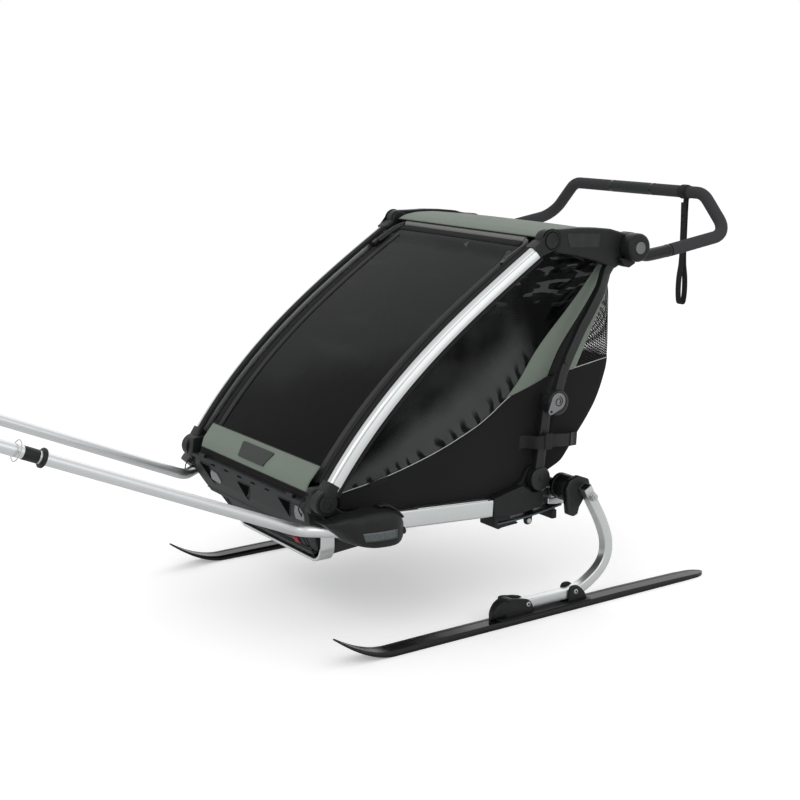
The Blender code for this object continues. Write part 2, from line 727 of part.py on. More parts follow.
def lock_ring():
    """The wire ring with a cross pin that locks the front half of the pole."""
    cross = POLE_BEND + POLE_DIRECTION * (POLE_JOINT + PLAY + 0.052)
    ring_radius = 0.0225
    across = Vector((1, 0, 0))
    upward = across.cross(POLE_DIRECTION).normalized()
    points = []
    turns = 20
    for i in range(turns):
        angle = 2 * math.pi * i / turns
        points.append(cross + across * (ring_radius * math.cos(angle)) + upward * (ring_radius * math.sin(angle)))
    curve = bpy.data.curves.new("ring", "CURVE")
    curve.dimensions = "3D"
    curve.bevel_depth = 0.0011
    curve.bevel_resolution = 1
    spline = curve.splines.new("POLY")
    spline.points.add(turns - 1)
    spline.use_cyclic_u = True
    for point, place in zip(spline.points, points):
        point.co = (*place, 1.0)
    item = bpy.data.objects.new("ring", curve)
    PARTS.objects.link(item)
    ring = as_mesh(item)
    pin = rod(cross - across * ring_radius, cross + across * ring_radius, 0.0020, 12)
    return settle(join(pin, ring), "lock_ring_right", "spring_steel", "lock_ring_right")


# The front frame: pillars with their end sockets, the window and its roller


def pillar():
    """The bowed two-faced extrusion, with the seam that runs along its ridge."""
    section = [
        (-0.0205, -0.0145), (0.0190, -0.0145), (0.0210, -0.0120), (0.0165, 0.0040), (0.0095, 0.0128),
        (0.0072, 0.0112), (0.0050, 0.0138), (-0.0175, 0.0138), (-0.0205, 0.0110),
    ]
    return settle(
        side_sweep(pillar_line(0.055, 0.929, 22), lambda share: section, PILLAR_MIDDLE),
        "pillar_right", "brushed_aluminium", "front_frame",
    )


def pillar_foot():
    """The socket at the pillar's lower end, with the eye that turns on the front corner's pin."""
    toward = pillar_point(0.0525)
    eye = plate(
        eye_outline(FRONT_PIVOT, 0.0295, toward, 0.0360, 14), *FOOT_PLATE,
        holes=[ring_points(FRONT_PIVOT, 0.0083, 16)], bevel=0.0015,
    )
    return settle(eye, "pillar_foot_right", "black_moulding", "front_frame")


def pillar_head():
    """The socket at the pillar's upper end, with an eye and pin inside the top housing."""
    section = [
        (-0.0200, -0.0140), (0.0190, -0.0140), (0.0205, -0.0110), (0.0160, 0.0040), (0.0060, 0.0135),
        (-0.0170, 0.0135), (-0.0200, 0.0110),
    ]
    socket = side_sweep(pillar_line(0.9300, 0.958, 3), lambda share: section, PILLAR_MIDDLE)
    eye = plate(
        eye_outline(TOP_PIVOT, 0.0240, pillar_point(0.948), 0.0210, 12), 0.3085, 0.3264
    )
    pin = rod((0.3200, *TOP_PIVOT), (0.3456, *TOP_PIVOT), 0.0100)
    cap = turned([(0.3446, 0.0165), (0.3462, 0.0165), (0.3476, 0.0150)], TOP_PIVOT, 20)
    return settle(join(socket, eye, pin, cap), "pillar_head_right", "black_moulding", "front_frame")


def window_roller():
    """The grey tube across the top of the window, whose ends turn down beside the pillars."""
    low = pillar_point(0.880, 0.0060)
    corner = (0.2840, 0.6410, 0.9150)
    path = rounded_path(
        [(-0.2840, low.x, low.y), (-0.2840, *corner[1:]), corner, (0.2840, low.x, low.y)], 0.040, 5
    )
    return settle(tube(path, ROLLER_RADIUS, 2), "window_roller", "grey_button", "front_frame")


def front_cover():
    """The window sheet between the pillars, with its fabric band along the bottom."""
    start, end, steps = 0.012, 0.945, 18

    def section(share):
        place = start + (end - start) * share
        half = 0.2700 if place < 0.06 else 0.2710 if place > 0.80 else 0.3040
        return [(-half, -0.0030), (half, -0.0030), (half, 0.0), (-half, 0.0)]

    path = pillar_line(start, end, steps, 0.0015)
    path[0] = (-0.0080, 0.3720)
    return settle(side_sweep(path, section, 0.0), "front_cover", "tinted_window", "front_frame")


# The top frame: housings, rear posts, roof and its bar


def top_housing():
    """The moulded housing from the top pivot to the handle's hub, with a shallow bare recess."""
    outline = [
        *arc(TOP_PIVOT, 0.0265, 225, 100, 9), (0.6780, 0.9460), (0.7750, 0.9435), (0.8760, 0.9315),
        *arc(HANDLE_PIVOT, 0.0360, 90, -100, 12), (0.8640, 0.8350), (0.8120, 0.8570), (0.7280, 0.8790),
        (0.6640, 0.8905),
    ]
    body = plate(outline, *HOUSING, bevel=0.0016)
    hub_seat = rod((HUB_SEAT, *HANDLE_PIVOT), (0.3600, *HANDLE_PIVOT), 0.0376, 28)
    eye_seat = rod((0.3000, *TOP_PIVOT), (0.3274, *TOP_PIVOT), 0.0290, 24)
    pin_hole = rod((0.3200, *TOP_PIVOT), (0.3600, *TOP_PIVOT), 0.0106, 20)
    recess = plate([(0.7050, 0.9330), (0.7940, 0.9290), (0.7900, 0.8960), (0.7110, 0.9010)], 0.3428, 0.3500)
    return settle(cut(body, hub_seat, eye_seat, pin_hole, recess), "top_housing_right", "black_moulding",
                  "top_frame")


def rear_post():
    """The curved square post from under the hub down to the round fold joint at its lower end."""
    line = [
        (0.3330, 0.8420, 0.8370), (0.3360, 0.8330, 0.8275), (0.3450, 0.8190, 0.8105), (0.3565, 0.7950, 0.7800),
        (POST_LINE, 0.7600, 0.7330), (POST_LINE, 0.7365, 0.6997), (POST_LINE, 0.7165, 0.6655),
        (POST_LINE, 0.6970, 0.6320), (POST_LINE, 0.6780, 0.5950), (POST_LINE, 0.6660, 0.5580),
        (POST_LINE, 0.6600, 0.5400),
    ]
    across, deep = POST_HALF
    corner = 0.0030
    section = []
    for one, other, start in ((1, 1, 0), (-1, 1, 90), (-1, -1, 180), (1, -1, 270)):
        section += arc((one * (across - corner), other * (deep - corner)), corner, start, start + 90, 1)
    rings = []
    for i, (x, y, z) in enumerate(line):
        before, after = line[max(i - 1, 0)], line[min(i + 1, len(line) - 1)]
        along = Vector((after[1] - before[1], after[2] - before[2])).normalized()
        rings.append([(x + a, y - along.y * b, z + along.x * b) for a, b in section])
    post = loft(rings)
    joint = turned([(0.3480, 0.0300), (0.3500, 0.0325), (0.3760, 0.0325), (0.3790, 0.0290)], FOLD_PIVOT, 22)
    lever_seat = rod((0.3770, *FOLD_PIVOT), (0.3800, *FOLD_PIVOT), 0.0060, 16)
    stud = rod((0.3650, 0.6810, 0.6235), (0.3755, 0.6810, 0.6235), 0.0075, 14)
    return settle(join(post, joint, lever_seat, stud), "rear_post_right", "black_tube", "top_frame")


def fold_lever():
    """The drop-shaped release lever on the fold joint, with a small hole in its tail."""
    middle, tail = (0.6490, 0.5260), (0.6260, 0.5030)
    direction = Vector(tail) - Vector(middle)
    bearing = math.degrees(math.atan2(direction.y, direction.x))
    outline = [
        *arc(middle, 0.0225, bearing + 65, bearing + 295, 14),
        *arc(tail, 0.0085, bearing - 70, bearing + 70, 6),
    ]
    lever = plate(
        outline, 0.3795, 0.3845,
        holes=[ring_points(FOLD_PIVOT, 0.0066, 16), ring_points(tail, 0.0034, 12)], bevel=0.0010,
    )
    return settle(lever, "fold_lever_right", "grey_lever", "fold_lever_right")


def top_crossbar():
    """The bar between the housings that holds up the seat backs."""
    reach = HOUSING[0] - PLAY
    return settle(
        rod((-reach, 0.8450, 0.8800), (reach, 0.8450, 0.8800), CROSS_TUBE_RADIUS, 20), "top_crossbar", "black_tube",
        "top_frame",
    )


def roof_canopy():
    """The crowned fabric roof stretched between the two housings."""
    sides = [(0.6490, 0.9305), (0.6650, 0.9365), (0.7000, 0.9395), (0.7600, 0.9385), (0.8300, 0.9310),
             (0.8900, 0.9200)]
    rings = []
    columns = 12
    for y, side in spline_points(sides, 2):
        half = 0.3040 + 0.0105 * min(max((y - 0.6800) / 0.0400, 0), 1)
        top, bottom = [], []
        for j in range(columns + 1):
            x = half * (2 * j / columns - 1)
            rise = 0.0045 * (1 - (x / half) ** 2)
            top.append((x, y, side + rise))
            bottom.append((x, y, side + rise - 0.0035))
        rings.append([*bottom, *reversed(top)])
    return settle(loft(rings), "roof_canopy", "sage_fabric", "top_frame")


# The lower rear frame


def rear_strut():
    """The strut from the rear casting up to the fold joint, with a round boss at its foot."""
    boss = plate(
        ring_points(REAR_PIVOT, 0.0300, 24), STRUT_PLATE[0], 0.3480, holes=[ring_points(REAR_PIVOT, 0.0094, 16)],
        bevel=0.0015,
    )
    direction = (Vector(FOLD_PIVOT) - Vector(REAR_PIVOT)).normalized()
    start = Vector(REAR_PIVOT) + direction * 0.0220
    arm = plate(
        eye_outline(FOLD_PIVOT, 0.0180, start, 0.0230, 12), *STRUT_PLATE, bevel=0.0030
    )
    return settle(join(boss, arm), "rear_strut_right", "black_tube", "lower_frame")


# The handle


def handle_hub():
    """The hub that turns on the top housing, with the plastic sleeve that holds the handle's end."""
    drum = turned(
        [(HUB[0], 0.0340), (HUB[0] + 0.002, 0.0360), (HUB[1] - 0.007, 0.0360), (HUB[1] - 0.002, 0.0320),
         (HUB[1], 0.0280)],
        HANDLE_PIVOT, 24,
    )
    sleeve = tube(
        [(0.3560, 0.9250, 0.8740), (0.3550, 0.9520, 0.8668), (0.3535, 0.9850, 0.8680), (0.3525, 1.0360, 0.8735)],
        SLEEVE_RADIUS, 3,
    )
    bore = rod((HUB[1] - 0.0100, *HANDLE_PIVOT), (HUB[1] + 0.0050, *HANDLE_PIVOT), 0.0148)
    return settle(cut(join(drum, sleeve), bore), "handle_hub_right", "black_moulding", "handlebar")


def hub_button():
    """The round push button in the hub."""
    button = turned(
        [(HUB[1] - 0.0055, 0.0141), (HUB[1] + 0.0010, 0.0141), (HUB[1] + 0.0022, 0.0125)], HANDLE_PIVOT, 24
    )
    return settle(button, "hub_button_right", "grey_button", "hub_button_right")


def handlebar():
    """The foam-covered bar that runs from one sleeve, over its two corners, to the other."""
    half = [(0.3526, 1.0405, 0.8740), (0.3575, 1.2450, 0.9050), (0.2620, 1.2480, 1.0055)]
    corners = [*half, *[(-x, y, z) for x, y, z in reversed(half)]]
    path = rounded_path(corners, 0.055, 5)
    return settle(tube(path, HANDLE_RADIUS, 3), "handlebar", "grey_foam", "handlebar")


def wrist_strap():
    """The webbing strap looped round the bar: a band, two strands side by side, and an open loop."""
    bar = (1.2480, 1.0055)
    neck, foot = 0.8100, 0.6950
    outline = [(bar[0] + 0.0040, bar[1] - 0.0200), (bar[0] + 0.0055, neck)]
    opening = 0.0110
    loop_middle = (bar[0], (neck + foot) / 2 - 0.010)
    right = []
    left = []
    steps = 7
    for i in range(steps + 1):
        share = i / steps
        z = neck - 0.010 - (neck - foot - 0.020) * share
        bulge = opening * math.sin(math.pi * min(share * 0.62 + 0.04, 0.66) / 0.66 * 0.72)
        right.append((bar[0] + bulge + 0.0030, z))
        left.append((bar[0] - bulge - 0.0030, z))
    foot_arc = arc((loop_middle[0], right[-1][1]), right[-1][0] - bar[0], 0, -180, 8)
    outline = [*arc(bar, 0.0205, 258, -78, 18), *right, *foot_arc[1:-1], *reversed(left)]
    inner_right = [(bar[0] + max(y - bar[0] - 0.0025, 0.0010), z) for y, z in right]
    inner_left = [(2 * bar[0] - y, z) for y, z in inner_right]
    inner_foot = arc((bar[0], right[-1][1]), inner_right[-1][0] - bar[0], 0, -180, 6)
    hole = [*inner_right, *inner_foot[1:-1], *reversed(inner_left)]
    strap = plate(outline, 0.1840, 0.2040, holes=[ring_points(bar, HANDLE_RADIUS + 0.0009, 24), hole])
    return settle(strap, "wrist_strap", "black_fabric", "wrist_strap")


# Seats, side panels, bag and straps


def seat():
    """The padded sling for two: seat, back and a sewn channel between the places."""
    line = [(0.1700, 0.3060), (0.2500, 0.3140), (0.3600, 0.3140), (0.4300, 0.3260), (0.4750, 0.3750),
            (0.5050, 0.4600), (0.5500, 0.6000), (0.6020, 0.7400), (0.6500, 0.8500)]
    path = [tuple(point) for point in spline_points(line, 2)]
    columns = 12
    half = 0.2750

    def section(share):
        fade = math.sin(math.pi * min(max(share, 0.04), 0.96)) ** 0.5
        front, back = [], []
        for j in range(columns + 1):
            x = half * (2 * j / columns - 1)
            crown = abs(math.sin(math.pi * x / half)) ** 0.6
            front.append((x, 0.0060 + 0.0170 * crown * fade))
            back.append((x, -0.0040 - 0.0050 * crown * fade))
        return [*back, *reversed(front)]

    return settle(side_sweep(path, section, 0.0), "seat", "black_fabric", "chassis")


def harness(middle):
    """The belts of one place: two shoulder straps, a lap strap, a crotch strap and their buckle."""
    pieces = []
    for sign in (-1, 1):
        line = [(0.5330, 0.7200), (0.5080, 0.6200), (0.4660, 0.4900), (0.4240, 0.4120)]
        shift = sign * 0.0350
        section = [(-0.0110, -0.0008), (0.0110, -0.0008), (0.0110, 0.0008), (-0.0110, 0.0008)]
        strap = side_sweep(line, lambda share: section, middle + shift)
        pieces.append(strap)
    buckle = block((middle - 0.0480, 0.4130, 0.3980), (middle + 0.0480, 0.4280, 0.4160))
    crotch = side_sweep([(0.4200, 0.4050), (0.3800, 0.3760), (0.3500, 0.3560)], lambda share: [
        (-0.0120, -0.0008), (0.0120, -0.0008), (0.0120, 0.0008), (-0.0120, 0.0008)], middle)
    side = "right" if middle > 0 else "left"
    return settle(join(buckle, *pieces, crotch), "harness_" + side, "black_fabric", "chassis")


def side_panel():
    """The flat side wall of the cabin: window, sage strip and black lower panel in one sheet."""
    front = [tuple(point) for point in pillar_line(0.075, 0.930, 12, -0.0200)]
    outline = [
        *front, (0.7000, 0.8780), (0.8100, 0.8500), (0.8420, 0.8200), (0.7650, 0.7000), (0.7000, 0.6000),
        (0.6500, 0.5300), (0.6380, 0.4200), (0.6200, 0.3620), (0.5800, 0.3400), (0.5400, 0.3000),
        (0.1300, 0.3200), (0.0600, 0.3400),
    ]
    return settle(plate(outline, 0.2932, 0.2962), "side_panel_right", "black_fabric", "chassis")


def cargo_bag():
    """The luggage bag behind the seats: a hollow shell, open at its top and front."""
    outer = [
        (0.8460, 0.8480), (0.8780, 0.7760), (0.8800, 0.6720), (0.8780, 0.6000), (0.8600, 0.5290),
        (0.8280, 0.4670), (0.7930, 0.4020), (0.7300, 0.3520), (0.6640, 0.3420),
    ]
    inner = [(0.6680, 0.3480), (0.7260, 0.3580), (0.7880, 0.4070), (0.8230, 0.4700), (0.8545, 0.5310),
             (0.8722, 0.6000), (0.8740, 0.6720), (0.8722, 0.7760), (0.8400, 0.8460)]
    side_outline = [*outer, (0.6700, 0.4200), (0.6900, 0.5400), (0.7700, 0.6700), (0.8300, 0.7700)]
    back = plate([*outer, *inner], -0.2900, 0.2900)
    walls = [plate(side_outline, low, low + 0.003) for low in (-0.2900, 0.2870)]
    return settle(join(back, *walls), "cargo_bag", "black_fabric", "chassis")


def side_strap():
    """The webbing strap that holds the bag's corner round the rear strut."""
    middle = [(0.2985, 0.5900), (0.3200, 0.5930), (0.3505, 0.6140), (0.3525, 0.6600), (0.3300, 0.7400),
              (0.2960, 0.7900)]
    path = spline_points([(x, y) for x, y in middle], 3)
    outline = []
    back = []
    last = len(path) - 1
    for i, point in enumerate(path):
        along = (path[min(i + 1, last)] - path[max(i - 1, 0)]).normalized()
        side = Vector((-along.y, along.x)) * 0.0010
        outline.append(tuple(point + side))
        back.append(tuple(point - side))
    return settle(
        plate([*outline, *reversed(back)], 0.4080, 0.4400, axis="Z"), "side_strap_right", "black_fabric", "chassis"
    )


def make_bodies():
    """The empties: one at each joint's axis, hung on the body that carries it."""
    chassis = empty("chassis", (0.0, 0.0, 0.0))
    empty("running_gear", (0.0, *ARM_PIVOT), chassis)
    front = empty("front_frame", (0.0, *FRONT_PIVOT), chassis)
    top = empty("top_frame", (0.0, *TOP_PIVOT), front)
    empty("lower_frame", (0.0, *REAR_PIVOT), chassis)
    handle = empty("handlebar", (0.0, *HANDLE_PIVOT), top)
    empty("wrist_strap", (0.1940, 1.2480, 1.0055), handle)
    joint = POLE_BEND + POLE_DIRECTION * POLE_JOINT
    for side, sign in zip(SIDES, (1, -1)):
        flip = Vector((sign, 1, 1))
        empty("fold_lever_" + side, (sign * 0.3820, *FOLD_PIVOT), top)
        empty("hub_button_" + side, (sign * HUB[1], *HANDLE_PIVOT), handle)
        empty("wing_lever_" + side, (sign * 0.3780, 0.1145, 0.3467), chassis)
        pole = empty("pole_front_" + side, joint * flip, chassis)
        cross = POLE_BEND + POLE_DIRECTION * (POLE_JOINT + PLAY + 0.052)
        empty("lock_ring_" + side, cross * flip, pole)


def build():
    """Make every piece, then its left-hand copy where there is one, and centre the trailer."""
    make_finishes()
    make_bodies()
    axle_beam()
    front_bumper()
    footwell_tub()
    rear_cross_tube()
    window_roller()
    front_cover()
    top_crossbar()
    roof_canopy()
    handlebar()
    wrist_strap()
    seat()
    cargo_bag()
    paired = (
        ski_leg, ski, ski_binding, side_rail, front_corner, hitch_wing, wing_lever, rear_casting, leaf_spring,
        pole_rear, pole_front, lock_ring, pillar, pillar_foot, pillar_head, top_housing, rear_post, fold_lever,
        rear_strut, handle_hub, hub_button, side_panel, side_strap,
    )
    for make in paired:
        piece = make()
        body = piece.parent.name.removesuffix("_pivot")
        mirrored(piece, piece.name.replace("_right", "_left"), body.replace("_right", "_left"))
    for middle in (0.1375, -0.1375):
        harness(middle)
    EMPTIES["chassis"].location.y = CENTRE_SHIFT


build()
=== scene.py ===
"""Looks of the child trailer on its ski kit, built round the packed frame.

Points are metres. Side-view outlines are (y, z), counted back from the front pivot and up from the floor, and
every surface is moved back by SHIFT when it becomes a mesh, which puts it in the packed model's frame.
"""

import math

import bpy
import numpy as np
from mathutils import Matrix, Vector


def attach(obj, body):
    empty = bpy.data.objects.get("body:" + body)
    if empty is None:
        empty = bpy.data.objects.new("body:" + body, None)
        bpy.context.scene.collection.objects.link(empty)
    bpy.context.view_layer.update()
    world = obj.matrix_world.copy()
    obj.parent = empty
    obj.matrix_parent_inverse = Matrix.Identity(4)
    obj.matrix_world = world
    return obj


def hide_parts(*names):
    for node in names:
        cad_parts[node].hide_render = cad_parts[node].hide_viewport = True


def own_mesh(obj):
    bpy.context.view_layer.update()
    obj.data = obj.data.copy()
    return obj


bl_info = {
    "name": "Child trailer with ski kit",
    "version": (1, 0, 0),
    "blender": (4, 5, 0),
    "location": "View3D > Sidebar > Trailer",
    "description": "Builds the cabin, frame, ski kit and finishes of a folding child trailer",
    "category": "Object",
}

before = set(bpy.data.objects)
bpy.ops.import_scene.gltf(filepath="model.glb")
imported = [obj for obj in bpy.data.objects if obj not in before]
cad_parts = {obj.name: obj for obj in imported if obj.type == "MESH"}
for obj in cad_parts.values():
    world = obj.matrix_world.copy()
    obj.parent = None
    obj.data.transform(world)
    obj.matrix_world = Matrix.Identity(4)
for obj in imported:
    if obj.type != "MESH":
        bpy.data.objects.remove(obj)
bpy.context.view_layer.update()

SHIFT = 0.1262
TAU = 2 * math.pi
SIDES = (("right", 1), ("left", -1))

# Centres in the side view, (y, z)
FRONT = np.array((0.0, 0.36))
TOP = np.array((0.648, 0.921))
REAR = np.array((0.628, 0.323))
FOLD = np.array((0.655, 0.521))
HANDLE = np.array((0.909, 0.89))
BAR = np.array((1.248, 1.0055))
AXLE = np.array((0.703, 0.292))
SPRING_PIN = (0.64, 0.262)

# The tow pole's bend, root and run, (x, y, z)
POLE_BEND = np.array((0.297, -0.0445, 0.292))
POLE_ROOT = np.array((0.365, 0.0416, 0.292))
POLE_RUN = np.array((0.012, -0.9167, 0.3995))
POLE_RUN /= np.linalg.norm(POLE_RUN)
POLE_RADIUS = 0.014

# Planes of constant x
PILLAR_X, SOCKET_X, RAIL_X, STRUT_X, WALL_X = 0.3265, 0.3262, 0.326, 0.333, 0.3035
LEG_X, SKI_X, SEAT_X = 0.414, 0.4235, 0.1375

# Single measures
PIVOT_ROUND = 0.0272
WING_LEVEL = 0.292
BINDING_FOOT = 0.0145

# The photograph's camera
PHOTO_EYE = (3.081954, -1.668 + SHIFT, 1.3)
PHOTO_LOOK = (-0.807015, 0.550872, -0.212758)


# Shapes worked out as arrays


def angles(count, shift=0.0):
    """Angles evenly round a turn, shifted by a share of one step."""
    return TAU * (np.arange(count) + shift) / count


def unit(vectors):
    """Vectors divided by their own length."""
    vectors = np.asarray(vectors, float)
    return vectors / np.maximum(np.linalg.norm(vectors, axis=-1, keepdims=True), 1e-12)


def even(points, count, closed=False):
    """Points spaced evenly along a polyline: its running length is cut into equal steps."""
    points = np.asarray(points, float)
    if closed:
        points = shut(points)
    run = np.concatenate(((0.0,), np.cumsum(np.linalg.norm(np.diff(points, axis=0), axis=1))))
    stops = np.linspace(0, run[-1], count + 1 if closed else count)
    spread = np.stack([np.interp(stops, run, points[:, k]) for k in range(points.shape[1])], axis=1)
    return spread[:-1] if closed else spread


def smooth_line(points, count):
    """A Catmull-Rom curve through the points, sampled evenly.

    Between b and c it is (2b + (c - a)t + (2a - 5b + 4c - d)t^2 + (3b - a - 3c + d)t^3) / 2.
    """
    p = np.asarray(points, float)
    knots = np.vstack((2 * p[0] - p[1], p, 2 * p[-1] - p[-2]))
    a, b, c, d = (knots[k : len(knots) - 3 + k, None] for k in range(4))
    t = np.linspace(0, 1, 16, endpoint=False)[None, :, None]
    line = 0.5 * (2 * b + (c - a) * t + (2 * a - 5 * b + 4 * c - d) * t**2 + (3 * b - a - 3 * c + d) * t**3)
    return even(np.vstack((line.reshape(-1, p.shape[1]), p[-1:])), count)


def bent(points, radius, steps=10, closed=False):
    """Straight runs whose corners are turned with arcs.

    The arc's centre lies on the corner's bisector, radius / sin(half the angle) away.
    """
    p = np.asarray(points, float)
    count = len(p)
    line = [] if closed else [p[:1]]
    for i in range(count) if closed else range(1, count - 1):
        corner = p[i]
        first, second = unit(p[i - 1] - corner), unit(p[(i + 1) % count] - corner)
        half = 0.5 * math.acos(float(np.clip(first @ second, -0.99999, 0.99999)))
        centre = corner + unit(first + second) * radius / math.sin(half)
        start = corner + first * radius / math.tan(half) - centre
        end = corner + second * radius / math.tan(half) - centre
        spread = math.pi - 2 * half
        share = np.linspace(0, 1, steps)[:, None]
        line.append(centre + (np.sin((1 - share) * spread) * start + np.sin(share * spread) * end) / math.sin(spread))
    if not closed:
        line.append(p[-1:])
    return np.vstack(line)


def loop(points, radius, steps, count):
    """A closed outline with its corners turned, spaced evenly."""
    return even(bent(points, radius, steps, closed=True), count, closed=True)


def circle(centre, radius, count=48, start=0, sweep=360):
    """Points at centre + radius * (cosine, sine) of an angle that runs over the sweep, in degrees."""
    angle = np.radians(start + np.linspace(0, sweep, count, endpoint=sweep != 360))
    return np.asarray(centre) + radius * np.stack((np.cos(angle), np.sin(angle)), axis=1)


def signed_power(value, power):
    """The size of a value raised to a power, with the value's sign."""
    return np.sign(value) * np.abs(value) ** power


def shut(ring):
    """A ring with its first point repeated at its end."""
    return np.vstack((ring, ring[:1]))


def rounded_box(half_width, half_height, power=4.0, count=32):
    """A superellipse: |x / a|^n + |y / b|^n = 1."""
    angle = angles(count, 0.5)
    x, y = signed_power(np.cos(angle), 2 / power), signed_power(np.sin(angle), 2 / power)
    return np.stack((half_width * x, half_height * y), axis=1)


def square_tube(half_width, half_height, corner, steps=5):
    """A rectangle with quarter-round corners, as a closed section."""
    w, h = half_width, half_height
    return bent([(w, -h), (w, h), (-w, h), (-w, -h)], corner, steps, closed=True)


def carry(path, section, across=(1, 0, 0), swell=None):
    """A section carried along a path: point = path + a * side + b * normal.

    The normal is across x tangent, and side is tangent x normal. Swell scales the section at each ring.
    """
    path = np.asarray(path, float)
    tangent = unit(np.gradient(path, axis=0))
    normal = unit(np.cross(np.broadcast_to(np.asarray(across, float), path.shape), tangent))
    side = np.cross(tangent, normal)
    section = np.asarray(section, float)
    scale = np.ones(len(path)) if swell is None else np.asarray(swell, float)
    a = section[None, :, 0, None] * scale[:, None, None]
    b = section[None, :, 1, None] * scale[:, None, None]
    return path[:, None] + side[:, None] * a + normal[:, None] * b


def turned(profile, centre, count=48, axis=0):
    """A profile of (along, radius) turned about an axis through the centre.

    Point = centre + along * axis + radius * (cosine, sine) in the plane across the axis.
    """
    profile = np.asarray(profile, float)
    angle = angles(count)
    grid = np.zeros((len(profile), count, 3))
    first, second = [k for k in range(3) if k != axis]
    grid[..., axis] = profile[:, 0, None]
    grid[..., first] = centre[0] + profile[:, 1, None] * np.cos(angle)
    grid[..., second] = centre[1] + profile[:, 1, None] * np.sin(angle)
    return grid


def turned_about(profile, base, direction, count=40):
    """A profile of (along, radius) turned about any line through base."""
    profile = np.asarray(profile, float)
    direction = unit(direction)
    path = np.asarray(base, float) + profile[:, :1] * direction
    helper = np.array((1.0, 0, 0)) if abs(direction[0]) < 0.9 else np.array((0, 0, 1.0))
    side = unit(np.cross(direction, helper))
    other = np.cross(direction, side)
    angle = angles(count)
    ring = np.cos(angle)[:, None] * side + np.sin(angle)[:, None] * other
    return path[:, None] + profile[:, 1, None, None] * ring[None]


def square_to(tangent):
    """The directions a quarter turn to the left of the given ones."""
    return np.stack((-tangent[:, 1], tangent[:, 0]), axis=1)


def line_normal(line):
    """Unit normals along an open line, to the left of its run."""
    return square_to(unit(np.gradient(line, axis=0)))


def inward(outline):
    """Unit vectors that point into a closed outline, square to its tangent."""
    following = np.roll(outline, -1, axis=0)
    normal = square_to(unit(following - np.roll(outline, 1, axis=0)))
    area = np.sum(outline[:, 0] * following[:, 1] - following[:, 0] * outline[:, 1])
    return normal * np.sign(area)


def moulded(outline, inner, outer, round_inner=0.0015, round_outer=0.003, steps=5):
    """A flat outline given thickness along X, with its rims rolled over in quarter circles.

    At angle q round a rim the outline moves in by r(1 - cos q) while X moves to the face by r sin q.
    """
    outline = np.asarray(outline, float)
    inside = inward(outline)
    angle = np.linspace(0, math.pi / 2, steps)
    rings = []
    for q in angle[::-1]:
        rings.append((inner + round_inner * (1 - math.sin(q)), round_inner * (1 - math.cos(q))))
    for q in angle:
        rings.append((outer - round_outer * (1 - math.sin(q)), round_outer * (1 - math.cos(q))))
    grid = np.zeros((len(rings), len(outline), 3))
    for row, (x, inset) in zip(grid, rings):
        row[:, 0] = x
        row[:, 1:] = outline + inside * inset
    return grid


def between(first, second, rows=12, bulge=(0, 0, 0), power=1.0):
    """A sheet ruled between two curves, with its middle pushed along bulge by sin(pi * t) ^ power."""
    t = np.linspace(0, 1, rows)[:, None, None]
    return (1 - t) * first[None] + t * second[None] + np.sin(math.pi * t) ** power * np.asarray(bulge, float)


def lengths(grid, axis):
    """Mean running length of a grid along one of its two directions."""
    steps = np.linalg.norm(np.diff(grid, axis=axis), axis=-1).mean(axis=1 - axis)
    return np.concatenate(((0.0,), np.cumsum(steps)))


